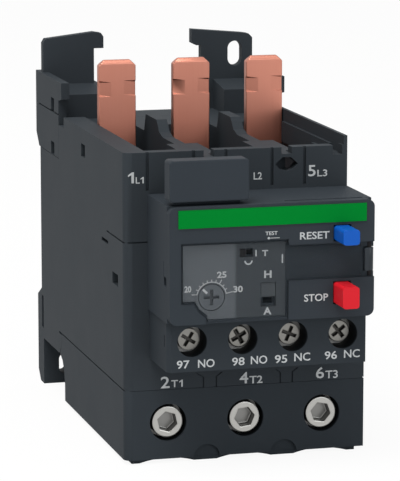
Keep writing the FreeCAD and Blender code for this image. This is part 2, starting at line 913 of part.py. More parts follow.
# The side walls reach forward over the housing in a short nose.
NOSE = "(body_height + flange_rise - ear_inset * 6.5)"
flange_profile = [
    (deep(f"{FLANGE_FRONT} + flange_cut"), high(FLANGE_BOTTOM)),
    (deep(f"{MOUNTING_DEPTH} - flange_cut"), high(FLANGE_BOTTOM)),
    (BASE_REAR, high(f"{FLANGE_BOTTOM} + flange_cut")),
    (BASE_REAR, high("body_height + flange_rise")),
    (deep(FLANGE_FRONT), high("body_height + flange_rise")),
    (deep(FLANGE_FRONT), high(NOSE)),
    (deep(f"{FLANGE_FRONT} + flange_cut"), high(f"{NOSE} - ear_inset")),
]
for label, start in (("left", f"-{HALF}"), ("right", f"{HALF} - flange_wall")):
    base_parts.append(prism(f"{label}_flange", "YZ_Plane", flange_profile, start, "flange_wall"))

# The foot rail and the foot ear at its left end, blunted at the top and the bottom.
rail_profile = [
    (HOUSING_REAR, high("ledge_height")),
    (BASE_REAR, high("ledge_height")),
    (BASE_REAR, high("foot_ear_top")),
    (deep(f"{MOUNTING_DEPTH} - 2 * foot_slope"), high("foot_ear_top + foot_slope")),
    (HOUSING_REAR, high("foot_ear_top + foot_slope")),
]
base_parts.append(prism("foot_rail", "YZ_Plane", rail_profile, f"-{HALF}", "body_width"))
foot_profile = [
    (HOUSING_REAR, "0"),
    (deep(f"{MOUNTING_DEPTH} - foot_slope"), "0"),
    (BASE_REAR, "foot_slope"),
    (BASE_REAR, high("foot_ear_top")),
    (HOUSING_REAR, high("foot_ear_top")),
]
base_parts.append(prism("foot_ear", "YZ_Plane", foot_profile, f"-{HALF}", "foot_ear_width"))
base_solid = fuse("base_solid", base_parts)


def slot_tools(name, place_x, height, width, length, y_start, reach):
    """The tools of an upright round-ended slot."""
    straight = f"({length} - {width}) / 2"
    tools = [
        box(
            f"{name}_middle",
            (f"{place_x} - {width} / 2", f"{place_x} + {width} / 2"),
            (y_start, f"{y_start} + {reach}"),
            (f"{height} - {straight}", f"{height} + {straight}"),
        )
    ]
    for side in (-1, 1):
        centre = (place_x, y_start, f"{height} + {side} * {straight}")
        tools.append(rod(f"{name}_end_{side + 2}", "y", centre, f"{width} / 2", reach))
    return tools


base_cuts = slot_tools(
    "ear_slot",
    f"({HALF} - ear_slot_inset)",
    high(f"{EAR_TOP} - ear_slot_drop"),
    "ear_slot_width",
    "ear_slot_length",
    deep("housing_depth - ear_setback"),
    "ear_thick + 2 * overrun",
)
base_cuts += slot_tools(
    "foot_slot",
    f"(-{HALF} + foot_slot_inset)",
    high("foot_slot_height"),
    "foot_slot_width",
    "foot_slot_length",
    deep("housing_depth - overrun"),
    "base_standoff + 2 * overrun",
)
# Windows in the left wall, the seam above the housing's side, and the slit beside the foot rail.
for label, y_span, drop, tall, reach in (
    ("upper_window", ("70.5", "73.9"), 0.1, 3.3, "flange_wall / 2"),
    ("lower_window", ("70.5", "74.2"), 10.4, 3.0, "flange_wall / 2"),
    ("flange_seam", (f"{FLANGE_FRONT}", f"{MOUNTING_DEPTH} - flange_cut"), 0.2, 0.3, "groove"),
    ("foot_slit", ("housing_depth - overrun", "housing_depth + base_plate"), 55.5, 8.0, "ear_thick"),
):
    base_cuts.append(
        box(
            label,
            (f"-{HALF} - overrun", f"-{HALF} + {reach}"),
            (deep(y_span[0]), deep(y_span[1])),
            (high(f"body_height - {drop}"), high(f"body_height - {drop} + {tall}")),
        )
    )
keep_as("mounting_base", cut("mounting_base_cut", base_solid, base_cuts))

# ---------------------------------------------------------------- line bars
# Each copper bar stands up out of its chamber, to plug into the contactor above, and its foot
# runs forward over the heater.
BAR_TOP = "(body_height + bar_rise)"
BAR_REAR = deep("bar_depth + bar_thick")
LID_BOTTOM = "(bar_foot_height + bar_thick + lid_gap)"
LID_TOP = "(bar_foot_height + bar_thick + lid_gap + lid_thick)"
for index in POLES:
    number_up = index + 1
    bar_profile = [
        (deep("bar_foot_front"), high("bar_foot_height")),
        (BAR_REAR, high("bar_foot_height")),
        (BAR_REAR, high(f"{BAR_TOP} - bar_lead_in")),
        (deep("bar_depth + 0.7 * bar_thick"), high(BAR_TOP)),
        (deep("bar_depth + 0.3 * bar_thick"), high(BAR_TOP)),
        (deep("bar_depth"), high(f"{BAR_TOP} - bar_lead_in")),
        (deep("bar_depth"), high("bar_foot_height + bar_thick")),
        (deep("bar_foot_front"), high("bar_foot_height + bar_thick")),
    ]
    left_edge = f"{pole(index)} - bar_width / 2"
    blank = prism(f"bar_blank_{number_up}", "YZ_Plane", bar_profile, left_edge, "bar_width")
    bar_cuts = []
    for side in (-1, 1):
        near = f"{pole(index)} + {side} * bar_foot_half"
        far = f"{pole(index)} + {side} * bar_width"
        bar_cuts.append(
            box(
                f"bar_neck_{number_up}_{side + 2}",
                (near, far) if side > 0 else (far, near),
                (deep("bar_foot_front - overrun"), deep("bar_depth + bar_thick + overrun")),
                (high("bar_foot_height - overrun"), high(f"{LID_TOP} + lid_gap")),
            )
        )
        # The edges are coined on the front, deepest at the outside.
        edge = f"{pole(index)} + {side} * bar_width / 2"
        inside = f"{edge} - {side} * coin_wide"
        outside = f"{edge} + {side} * overrun"
        coin = [
            (inside, deep("bar_depth")),
            (outside, deep("bar_depth")),
            (outside, deep("bar_depth + coin_deep * (1 + overrun / coin_wide)")),
        ]
        coin_foot = high(f"{BAR_TOP} - coin_drop - coin_tall")
        bar_cuts.append(prism(f"coin_{number_up}_{side + 2}", "XY_Plane", coin, coin_foot, "coin_tall"))
        # Its top corner is cut off.
        corner = [
            (f"{edge} - {side} * bar_bevel", high(BAR_TOP)),
            (outside, high(f"{BAR_TOP} - bar_bevel - overrun")),
            (outside, high(f"{BAR_TOP} + overrun")),
            (f"{edge} - {side} * bar_bevel", high(f"{BAR_TOP} + overrun")),
        ]
        bar_cuts.append(
            prism(
                f"corner_{number_up}_{side + 2}",
                "XZ_Plane",
                corner,
                f"-({BAR_REAR}) - overrun",
                "bar_thick + 2 * overrun",
            )
        )
    keep_as(f"line_bar_{number_up}", cut(f"bar_cut_{number_up}", blank, bar_cuts))

# Insulating lids close the chambers under the open channels; each bar stands in a notch.
lids = []
for index in POLES:
    lid = box(
        f"lid_{index + 1}",
        chamber_span(index),
        (deep("front_wall"), CHAMBER_REAR),
        (high(LID_BOTTOM), high(LID_TOP)),
    )
    way = box(
        f"lid_way_{index + 1}",
        (f"{pole(index)} - bar_foot_half", f"{pole(index)} + bar_foot_half"),
        (deep("bar_depth"), BAR_REAR),
        (high("bar_foot_height"), high(f"{LID_TOP} + overrun")),
    )
    lids.append(cut(f"lid_cut_{index + 1}", lid, [way]))
keep_as("chamber_lids", group("chamber_lid_set", lids))

# ---------------------------------------------------------------- load bars and bimetals
for index in POLES:
    number_up = index + 1
    keep_as(
        f"load_bar_{number_up}",
        box(
            f"load_bar_solid_{number_up}",
            (f"{pole(index)} - load_bar_half", f"{pole(index)} + load_bar_half"),
            (deep("strip_rear"), deep("cage_rear - cage_back_wall")),
            (high("cage_bottom + lid_gap"), high("load_bar_top")),
        ),
    )
    keep_as(
        f"bimetal_strip_{number_up}",
        box(
            f"bimetal_solid_{number_up}",
            (f"{pole(index)} - strip_thick / 2", f"{pole(index)} + strip_thick / 2"),
            (deep("strip_front"), deep("strip_rear")),
            (high("strip_bottom"), high("strip_top")),
        ),
    )


def heater_coil(index):
    """A square-wound ribbon round the bimetal, with a tail up to the line bar's foot."""
    middle = number(pole(index))
    half = number("coil_half")
    near = number(deep("coil_front"))
    far = number(deep("coil_rear"))
    wire = number("coil_wire")
    pitch = number("coil_pitch")
    level = number(high("coil_bottom"))
    side_run = far - near + wire
    solids = []
    for turn in range(int(number("coil_turns"))):
        z = level + turn * pitch
        for side in (-1, 1):
            corner = FreeCAD.Vector(middle + side * half - wire / 2, near - wire / 2, z)
            solids.append(Part.makeBox(wire, side_run, wire, corner))
        corner = FreeCAD.Vector(middle - half - wire / 2, near - wire / 2, z)
        solids.append(Part.makeBox(2 * half + wire, wire, wire, corner))
        rise = [
            FreeCAD.Vector(middle + half - wire / 2, far + wire / 2, z),
            FreeCAD.Vector(middle + half - wire / 2, far + wire / 2, z + wire),
            FreeCAD.Vector(middle - half + wire / 2, far + wire / 2, z + pitch + wire),
            FreeCAD.Vector(middle - half + wire / 2, far + wire / 2, z + pitch),
        ]
        if turn + 1 < int(number("coil_turns")):
            slope = Part.Face(Part.makePolygon(rise + [rise[0]]))
            solids.append(slope.extrude(FreeCAD.Vector(0, -wire, 0)))
    last = level + (int(number("coil_turns")) - 1) * pitch
    tail_top = number(high("bar_foot_height"))
    corner = FreeCAD.Vector(middle + half - wire / 2, far - wire / 2, last)
    solids.append(Part.makeBox(wire, wire, tail_top - last, corner))
    # The first turn is welded to the load bar by a tab.
    tab_low = number(high("load_bar_top"))
    corner = FreeCAD.Vector(middle - half - wire / 2, far - 1.2 * wire, tab_low)
    solids.append(Part.makeBox(wire, wire, level + wire - tab_low, corner))
    return solids[0].multiFuse(solids[1:]).removeSplitter()


for index in POLES:
    coil = doc.addObject("Part::Feature", f"heater_solid_{index + 1}")
    coil.Shape = heater_coil(index)
    coil.Placement = FreeCAD.Placement()
    keep_as(f"heater_coil_{index + 1}", coil)

# ---------------------------------------------------------------- power clamps
# A cage round the end of each load bar, a jaw that closes it, and a socket screw in its front
# wall that pushes the jaw back on to the cable.
CLAMP_HEIGHT = high("clamp_screw_height")
for index in POLES:
    number_up = index + 1
    cage_block = box(
        f"cage_block_{number_up}",
        (f"{pole(index)} - cage_half", f"{pole(index)} + cage_half"),
        (deep("cage_front"), deep("cage_rear")),
        (high("cage_bottom"), high("cage_bottom + cage_height")),
    )
    cage_way = box(
        f"cage_way_{number_up}",
        (f"{pole(index)} - cage_half + cage_side", f"{pole(index)} + cage_half - cage_side"),
        (deep("cage_front + cage_nut"), deep("cage_rear - cage_back_wall")),
        (high(0), high("cage_bottom + cage_height + overrun")),
    )
    cage_thread = rod(
        f"cage_thread_{number_up}",
        "y",
        (pole(index), deep("cage_front - overrun"), CLAMP_HEIGHT),
        "clamp_screw_radius + screw_clearance",
        "cage_nut + 2 * overrun",
    )
    keep_as(f"clamp_cage_{number_up}", cut(f"cage_cut_{number_up}", cage_block, [cage_way, cage_thread]))

    jaw_front = "cage_front + cage_nut + slide_room"
    keep_as(
        f"clamp_jaw_{number_up}",
        box(
            f"jaw_block_{number_up}",
            (f"{pole(index)} - jaw_half", f"{pole(index)} + jaw_half"),
            (deep(jaw_front), deep(f"{jaw_front} + jaw_thick")),
            (high("cage_bottom + jaw_edge"), high("cage_bottom + cage_height - jaw_edge")),
        ),
    )
    screw_body = rod(
        f"screw_body_{number_up}",
        "y",
        (pole(index), deep("clamp_screw_face"), CLAMP_HEIGHT),
        "clamp_screw_radius",
        f"{jaw_front} - seat_gap - clamp_screw_face",
    )
    socket = doc.addObject("Part::Prism", f"screw_socket_{number_up}")
    socket.Polygon = 6
    socket.Placement = FreeCAD.Placement(FreeCAD.Vector(), TURNS["y"])
    bind(socket, Circumradius="clamp_socket_flats / sqrt(3)", Height="clamp_socket_depth + overrun")
    place(socket, pole(index), deep("clamp_screw_face - overrun"), CLAMP_HEIGHT)
    keep_as(f"clamp_screw_{number_up}", cut(f"screw_cut_{number_up}", screw_body, [socket]))

# ---------------------------------------------------------------- tripping gear
# Two slides cross the three poles beside the tips of the bimetals. The upper one works the
# trip lever, and the lower one follows a pole that has gone cold.
LEVER_TAIL = "(slide_rear - collar_thick)"
LEVER_NOSE = "(lever_front - lever_pivot)"


def cross_slide(name, bottom, finger_side, with_notch):
    bar = box(
        f"{name}_bar",
        ("-slide_half + bridge_travel", "slide_half - bridge_travel"),
        (deep("slide_front"), deep("slide_rear")),
        (bottom, f"{bottom} + slide_tall"),
    )
    fingers = []
    for index in POLES:
        near = f"{pole(index)} + {finger_side} * (strip_thick / 2 + finger_gap)"
        far = f"{near} + {finger_side} * finger_thick"
        span = (near, far) if finger_side > 0 else (far, near)
        fingers.append(
            box(
                f"{name}_finger_{index + 1}",
                span,
                (deep("slide_rear - lid_gap"), deep("strip_front + pin_hold")),
                (bottom, f"{bottom} + slide_tall"),
            )
        )
    solid = fuse(f"{name}_solid", [bar] + fingers)
    if not with_notch:
        return solid
    notch = box(
        f"{name}_notch",
        ("-lever_half - lid_gap", "lever_half + lid_gap"),
        (deep("slide_front - overrun"), deep(f"{LEVER_TAIL} + collar_reach")),
        (f"{bottom} - overrun", f"{bottom} + slide_tall + overrun"),
    )
    return cut(f"{name}_cut", solid, [notch])


keep_as("trip_slide", cross_slide("trip_slide", high("slide_bottom"), 1, True))
keep_as(
    "phase_loss_slide",
    cross_slide("phase_loss_slide", high("slide_bottom - slide_tall - slide_room"), -1, False),
)

# The trip lever turns on a pin in the housing's front wall; its rear end is in the trip slide
# and the strip on its front end, a bimetal that allows for room heat, is in the contact bridge.
lever_low = high("slide_bottom + slide_room")
lever_top = high("slide_bottom + slide_tall - slide_room")
lever_arm = box(
    "lever_arm",
    ("-lever_half", "lever_half"),
    (fore(f"{LEVER_NOSE} - 5 * overrun"), deep(LEVER_TAIL)),
    (lever_low, lever_top),
)
LEVER_AXIS = ("0", deep("lever_pivot"), lever_low)
lever_boss = rod("lever_boss", "z", LEVER_AXIS, "lever_boss", "slide_tall - 2 * slide_room")
lever_bore = rod("lever_bore", "z", PIN_FOOT, "lever_pin + seat_gap", "slide_tall + 2 * pin_hold")
keep_as("trip_lever", cut("trip_lever_cut", fuse("trip_lever_solid", [lever_arm, lever_boss]), [lever_bore]))
keep_as(
    "compensation_strip",
    box(
        "compensation_solid",
        ("-strip_thick * 0.3", "strip_thick * 0.3"),
        (fore(f"{LEVER_NOSE} + overrun"), fore(f"{LEVER_NOSE} - 5 * overrun")),
        (lever_low, lever_top),
    ),
)
keep_as("lever_pin", rod("lever_pin_solid", "z", PIN_FOOT, "lever_pin", "slide_tall + 2 * pin_hold"))

# The contact bridge slides across the module: to the right it closes the break contacts,
# to the left the make contacts.
bridge_right = "contact_half - contact_gap"
bridge_left = "contact_half - contact_gap - bridge_travel"
BRIDGE_BOTTOM = "(slide_bottom - 2.2)"
BRIDGE_TOP = "(slide_bottom + slide_tall + 3.2)"
bridge_block = box(
    "bridge_block",
    (f"-({bridge_left})", bridge_right),
    (fore(f"{LEVER_NOSE} + 2 * overrun"), fore(f"{LEVER_NOSE} - 2 * overrun")),
    (high(BRIDGE_BOTTOM), high(BRIDGE_TOP)),
)
bridge_slot = box(
    "bridge_slot",
    ("-0.9 * strip_thick", "0.9 * strip_thick"),
    (fore(f"{LEVER_NOSE} + 1.6 * overrun"), fore(f"{LEVER_NOSE} - 3 * overrun")),
    (high("slide_bottom - cover_gap"), high("slide_bottom + slide_tall + cover_gap")),
)
keep_as("contact_bridge", cut("bridge_cut", bridge_block, [bridge_slot]))

# Four contact strips, each from its clamp up to a pad beside the bridge.
CONTACT_FRONT = fore("contact_back + contact_thick")
CONTACT_REAR = fore("contact_back")
UPPER_PAD = ("slide_bottom + slide_tall + 0.6", "slide_bottom + slide_tall + 3.0")
LOWER_PAD = ("slide_bottom - 2.0", "slide_bottom - 0.2")
AUX_LEVEL = high("aux_screw_height")
ROOM_HALF = "(aux_plate_half + aux_room_gap)"
for index, (label, side, pad, leg_low, leg_top) in enumerate(
    (
        ("make_contact_97", -1, UPPER_PAD, f"{aux(0)} - contact_leg / 2", f"{aux(0)} + contact_leg / 2"),
        ("make_contact_98", -1, LOWER_PAD, "-contact_half - contact_leg", "-contact_half"),
        ("break_contact_95", 1, LOWER_PAD, "contact_half", "contact_half + contact_leg"),
        ("break_contact_96", 1, UPPER_PAD, f"{aux(3)} + 0.7 * contact_leg", f"{aux(3)} + 1.5 * contact_leg"),
    )
):
    foot = box(
        f"{label}_foot",
        (f"{aux(index)} - aux_room_half", f"{aux(index)} + aux_room_half"),
        (CONTACT_FRONT, CONTACT_REAR),
        (high(f"aux_screw_height - {ROOM_HALF}"), high(f"aux_screw_height + {ROOM_HALF}")),
    )
    nut = box(
        f"{label}_nut",
        (f"{aux(index)} - contact_nut", f"{aux(index)} + contact_nut"),
        (CONTACT_FRONT, fore("contact_back - module_wall")),
        (high("aux_screw_height - contact_nut"), high("aux_screw_height + contact_nut")),
    )
    leg = box(
        f"{label}_leg",
        (leg_low, leg_top),
        (CONTACT_FRONT, CONTACT_REAR),
        (AUX_LEVEL, high(pad[1])),
    )
    inner_end = f"{side} * contact_half"
    outer_end = leg_low if side < 0 else leg_top
    bridge_run = box(
        f"{label}_run",
        (outer_end, inner_end) if side < 0 else (inner_end, outer_end),
        (CONTACT_FRONT, CONTACT_REAR),
        (high(pad[0]), high(pad[1])),
    )
    pad_outer = f"{side} * (contact_half + pad_reach)"
    pad_block = box(
        f"{label}_pad",
        (pad_outer, inner_end) if side < 0 else (inner_end, pad_outer),
        (fore(f"{LEVER_NOSE} + overrun"), CONTACT_REAR),
        (high(pad[0]), high(pad[1])),
    )
    thread = rod(
        f"{label}_thread",
        "y",
        (aux(index), fore("contact_back + contact_thick + overrun"), AUX_LEVEL),
        "aux_screw_radius + screw_clearance",
        "contact_thick + contact_back",
    )
    strip = fuse(f"{label}_solid", [foot, nut, leg, bridge_run, pad_block])
    keep_as(label, cut(f"{label}_cut", strip, [thread]))

# ---------------------------------------------------------------- control module case
# A box on the front of the housing, open in front for the bezel.
MODULE_LEFT = "-module_left"
MODULE_RIGHT = "module_right"
CASE_FRONT = fore("module_depth - bezel_thick")
case_block = box(
    "case_block",
    (MODULE_LEFT, MODULE_RIGHT),
    (CASE_FRONT, deep(0)),
    (high("module_bottom"), high("module_top")),
)
case_cuts = [
    box(
        "case_room",
        ("-module_left + module_wall", "module_right - module_wall"),
        (fore("module_depth"), fore("module_wall")),
        (high("module_bottom + module_wall"), high("module_top - module_wall")),
    ),
    box(
        "case_lever_way",
        ("-lever_way", "lever_way"),
        (fore("module_wall + overrun"), deep("overrun")),
        (high("slide_bottom - lid_gap"), high("slide_bottom + slide_tall + lid_gap")),
    ),
]
# The ways that the contact strips take from their terminals up into the case.
STRIP_WAYS = (
    ("97", f"{aux(0)} - 0.6 * contact_leg", f"{aux(0)} + 0.6 * contact_leg"),
    ("98", "-contact_half - 1.1 * contact_leg", "-contact_half + 0.1 * contact_leg"),
    ("95", "contact_half - 0.1 * contact_leg", "contact_half + 1.1 * contact_leg"),
    ("96", f"{aux(3)} + 0.6 * contact_leg", f"{aux(3)} + 1.6 * contact_leg"),
)
for label, low, top in STRIP_WAYS:
    case_cuts.append(
        box(
            f"case_strip_way_{label}",
            (low, top),
            (fore("contact_back + contact_thick + aux_room_gap"), fore("contact_back - aux_room_gap")),
            (high("module_bottom - overrun"), high("module_bottom + module_wall + overrun")),
        )
    )
# Rails below and above the contact bridge.
case_parts = [cut("case_cut", case_block, case_cuts)]
for label, low, top in (
    ("low", f"{BRIDGE_BOTTOM} - fit_gap - module_wall", f"{BRIDGE_BOTTOM} - fit_gap"),
    ("top", f"{BRIDGE_TOP} + fit_gap", f"{BRIDGE_TOP} + fit_gap + module_wall"),
):
    case_parts.append(
        box(
            f"bridge_rail_{label}",
            ("-contact_half + overrun", "contact_half - lid_gap"),
            (fore(f"{LEVER_NOSE} + 2 * overrun"), fore("module_wall / 2")),
            (high(low), high(top)),
        )
    )
# A square boss behind each button, bored for its stem.
BOSS_FRONT = fore("boss_length + overrun")
for label, height in (("reset", "reset_height"), ("stop", "stop_height")):
    boss = box(
        f"{label}_boss",
        ("button_place - boss_half", "button_place + boss_half"),
        (BOSS_FRONT, fore("module_wall / 2")),
        (high(f"{height} - boss_half"), high(f"{height} + boss_half")),
    )
    bore = rod(
        f"{label}_boss_bore",
        "y",
        ("button_place", fore("boss_length + 2 * overrun"), high(height)),
        "stem_radius + stem_clearance",
        "boss_length + overrun",
    )
    case_parts.append(cut(f"{label}_boss_cut", boss, [bore]))
keep_as("control_case", fuse("case_solid", case_parts))

# ---------------------------------------------------------------- bezel
# The front plate of the module: round corners, a shallow seat for the window cover, a deeper
# seat for the setting plate, and holes for the dial, the selector, the test slide and buttons.
BEZEL_FRONT = fore("module_depth")
HINGE_LEVEL = "((arm_bottom + arm_top) / 2)"
COVER_SEAT = fore("module_depth - cover_recess")
PLATE_SEAT = fore("module_depth - cover_recess - plate_thick")


def window_corners(left, right, bottom, top, inset):
    """The window's outline, with its lower left corner stepped and sloped clear of a screw."""
    return [
        (left, high(f"cover_notch_top + {inset}")),
        (f"-cover_left + 2.8 + {inset}", high(f"cover_notch_top + {inset}")),
        (f"-cover_left + 3.8 + {inset}", high(f"cover_notch_top - 1.8 + {inset}")),
        (f"-cover_left + cover_notch + {inset}", high(f"cover_notch_top - 3.1 + {inset}")),
        (f"-cover_left + cover_notch + {inset}", high(bottom)),
        (right, high(bottom)),
        (right, high(top)),
        (left, high(top)),
    ]


bezel_block = box(
    "bezel_block",
    (MODULE_LEFT, MODULE_RIGHT),
    (BEZEL_FRONT, CASE_FRONT),
    (high("module_bottom"), high("module_top")),
)
bezel_round = rounded("bezel_round", bezel_block, "bezel_corner", lambda edge: runs_along(edge, Y_AXIS))
SELECTOR_LOW = "selector_height - selector_length / 2 - selector_travel - slide_room"
SELECTOR_TOP = "selector_height + selector_length / 2 + slide_room"
bezel_cuts = [
    prism(
        "cover_seat",
        "XZ_Plane",
        window_corners(
            "-cover_left - cover_gap",
            "cover_right + cover_gap",
            "module_bottom - overrun",
            "cover_top + cover_gap",
            "-cover_gap",
        ),
        f"-({COVER_SEAT})",
        "cover_recess + overrun",
    ),
    box(
        "arm_seat",
        ("cover_right", "module_right + overrun"),
        (fore("module_depth + overrun"), COVER_SEAT),
        (high("arm_bottom - cover_gap"), high("arm_top + cover_gap")),
    ),
    prism(
        "plate_seat",
        "XZ_Plane",
        window_corners("-plate_left", "plate_right", "plate_bottom", "plate_top", "fit_gap"),
        f"-({PLATE_SEAT})",
        "plate_thick + cover_recess + overrun",
    ),
    rod(
        "dial_shaft_hole",
        "y",
        ("-dial_place", fore("module_depth + overrun"), high("dial_height")),
        "dial_shaft + screw_clearance",
        "module_depth",
    ),
    box(
        "selector_way",
        ("-selector_place - selector_half + collar_reach", "-selector_place + selector_half - collar_reach"),
        (fore("module_depth + overrun"), fore("overrun")),
        (high(f"{SELECTOR_LOW} + collar_reach"), high(f"{SELECTOR_TOP} - collar_reach")),
    ),
    box(
        "test_way",
        ("-test_place - test_half - aux_room_gap", "-test_place + test_half + test_travel + aux_room_gap"),
        (fore("module_depth + overrun"), fore("overrun")),
        (high("test_height - lid_gap"), high("test_height + lid_gap")),
    ),
    box(
        "hinge_seat",
        ("hinge_place - hinge_barrel - groove", "module_right + overrun"),
        (fore("module_depth + overrun"), fore("module_depth - bezel_thick - overrun")),
        (
            high(f"{HINGE_LEVEL} - hinge_length / 2 - button_gap"),
            high(f"{HINGE_LEVEL} + hinge_length / 2 + button_gap"),
        ),
    ),
]
for label, height, tall in (("reset", "reset_height", "reset_tall"), ("stop", "stop_height", "stop_tall")):
    bezel_cuts.append(
        box(
            f"{label}_way",
            ("button_place - button_half - button_gap", "button_place + button_half + button_gap"),
            (fore("module_depth + overrun"), fore("overrun")),
            (high(f"{height} - {tall} / 2 - button_gap"), high(f"{height} + {tall} / 2 + button_gap")),
        )
    )
HINGE_Y = fore("module_depth - hinge_back - hinge_barrel / 2")
HINGE_LOW = ("hinge_place", HINGE_Y, high(f"{HINGE_LEVEL} - hinge_length / 2 - hinge_hold"))
bezel_cuts.append(rod("hinge_pin_hole", "z", HINGE_LOW, "hinge_pin", "hinge_length + 2 * hinge_hold"))
keep_as("front_bezel", cut("bezel_cut", bezel_round, bezel_cuts))
keep_as("cover_pin", rod("cover_pin_solid", "z", HINGE_LOW, "hinge_pin", "hinge_length + 2 * hinge_hold"))
keep_as(
    "accent_band",
    box(
        "band_solid",
        ("-module_left + band_inset", "module_right - band_inset"),
        (fore("module_depth + band_thick"), BEZEL_FRONT),
        (high("band_bottom"), high("band_bottom + band_height")),
    ),
)

# ---------------------------------------------------------------- setting plate and controls
plate_block = prism(
    "plate_block",
    "XZ_Plane",
    window_corners(
        "-plate_left + seat_gap",
        "plate_right - seat_gap",
        "plate_bottom + seat_gap",
        "plate_top - seat_gap",
        "fit_gap + seat_gap",
    ),
    f"-({PLATE_SEAT})",
    "plate_thick",
)
plate_cuts = [
    rod(
        "plate_dial_hole",
        "y",
        ("-dial_place", BEZEL_FRONT, high("dial_height")),
        "dial_radius + button_gap",
        "bezel_thick",
    ),
    box(
        "plate_selector_hole",
        ("-selector_place - selector_half - slide_room", "-selector_place + selector_half + slide_room"),
        (BEZEL_FRONT, CASE_FRONT),
        (high(SELECTOR_LOW), high(SELECTOR_TOP)),
    ),
    box(
        "plate_test_hole",
        ("-test_place - test_half - slide_room", "-test_place + test_half + test_travel + slide_room"),
        (BEZEL_FRONT, CASE_FRONT),
        (high("test_height - test_tall - aux_room_gap"), high("test_height + test_tall + aux_room_gap")),
    ),
]
keep_as("setting_plate", cut("plate_cut", plate_block, plate_cuts))

# The dial's head lies on the bezel, in the plate; a cam on its shaft sets the trip lever.
PLATE_FLOOR = "(module_depth - cover_recess - plate_thick)"
dial_face = fore(f"{PLATE_FLOOR} + dial_thick - button_gap")
DIAL_AXIS = ("-dial_place", dial_face, high("dial_height"))
dial_head = rod("dial_head", "y", DIAL_AXIS, "dial_radius", "dial_thick - button_gap - seat_gap")
dial_stem = rod("dial_stem", "y", DIAL_AXIS, "dial_shaft", "module_depth - button_proud - cam_throw * 2")
dial_slots = [
    box(
        "dial_slot_flat",
        ("-dial_place - cross_length / 2", "-dial_place + cross_length / 2"),
        (fore("module_depth + overrun"), f"{dial_face} + cross_depth"),
        (high("dial_height - cross_width / 2"), high("dial_height + cross_width / 2")),
    ),
    box(
        "dial_slot_upright",
        ("-dial_place - cross_width / 2", "-dial_place + cross_width / 2"),
        (fore("module_depth + overrun"), f"{dial_face} + cross_depth"),
        (high("dial_height - cross_length / 2"), high("dial_height + cross_length / 2")),
    ),
]
keep_as("adjustment_dial", cut("dial_cut", fuse("dial_solid", [dial_head, dial_stem]), dial_slots))
CAM_AXIS = ("-dial_place + cam_throw", fore("cam_depth"), high("dial_height"))
cam_disc = rod("cam_disc", "y", CAM_AXIS, "cam_radius", "cam_thick")
cam_bore = rod(
    "cam_bore",
    "y",
    ("-dial_place", fore("cam_depth + overrun"), high("dial_height")),
    "dial_shaft",
    "cam_thick + 2 * overrun",
)
keep_as("setting_cam", cut("cam_cut", cam_disc, [cam_bore]))

selector_knob = box(
    "selector_knob",
    ("-selector_place - selector_half", "-selector_place + selector_half"),
    (fore("module_depth - cover_recess - button_gap"), fore(f"{PLATE_FLOOR} + seat_gap")),
    (high("selector_height - selector_length / 2"), high("selector_height + selector_length / 2")),
)
selector_stem = box(
    "selector_stem",
    ("-selector_place - selector_half / 2", "-selector_place + selector_half / 2"),
    (fore(PLATE_FLOOR) + " - seat_gap * 2", fore(f"{LEVER_NOSE} + 2 * overrun + deck_drop")),
    (high("selector_height - selector_length / 4"), high("selector_height + selector_length / 4")),
)
CATCH_FRONT = fore("module_depth - bezel_thick - aux_room_gap")
CATCH_REAR = fore("module_depth - bezel_thick - aux_room_gap - catch_thick")
selector_catch = box(
    "selector_catch",
    ("-selector_place - selector_half", "-selector_place + selector_half"),
    (CATCH_FRONT, CATCH_REAR),
    (
        high("selector_height - selector_length / 2 + jaw_edge"),
        high("selector_height + selector_length / 2 - jaw_edge"),
    ),
)
keep_as("mode_selector", fuse("selector_solid", [selector_knob, selector_stem, selector_catch]))

test_knob = box(
    "test_knob",
    ("-test_place - test_half", "-test_place + test_half"),
    (fore("module_depth - cover_recess - aux_room_gap"), fore(f"{PLATE_FLOOR} + seat_gap")),
    (high("test_height - test_tall"), high("test_height + test_tall")),
)
test_stem = box(
    "test_stem",
    ("-test_place - test_half + aux_room_gap", "-test_place + test_half - aux_room_gap"),
    (fore(PLATE_FLOOR) + " - seat_gap * 2", fore("module_depth - 2 * bezel_thick")),
    (high("test_height - test_tall / 2"), high("test_height + test_tall / 2")),
)
test_catch = box(
    "test_catch",
    ("-test_place - test_half", "-test_place + test_half"),
    (CATCH_FRONT, CATCH_REAR),
    (high("test_height - test_tall - cover_gap"), high("test_height + test_tall + cover_gap")),
)
keep_as("test_slide", fuse("test_solid", [test_knob, test_stem, test_catch]))

# ---------------------------------------------------------------- buttons
# Each button is a round-edged cap on a stem, with a collar inside the bezel that keeps it in,
# and a spring round its stem that pushes it back.
BUTTON_FACE = fore("module_depth + button_proud")
COLLAR_FRONT = fore("module_depth - bezel_thick - fit_gap")
COLLAR_REAR = fore("module_depth - bezel_thick - fit_gap - collar_thick")
STEM_END = fore("stem_rest + button_travel")
COIL_SIDES = 8


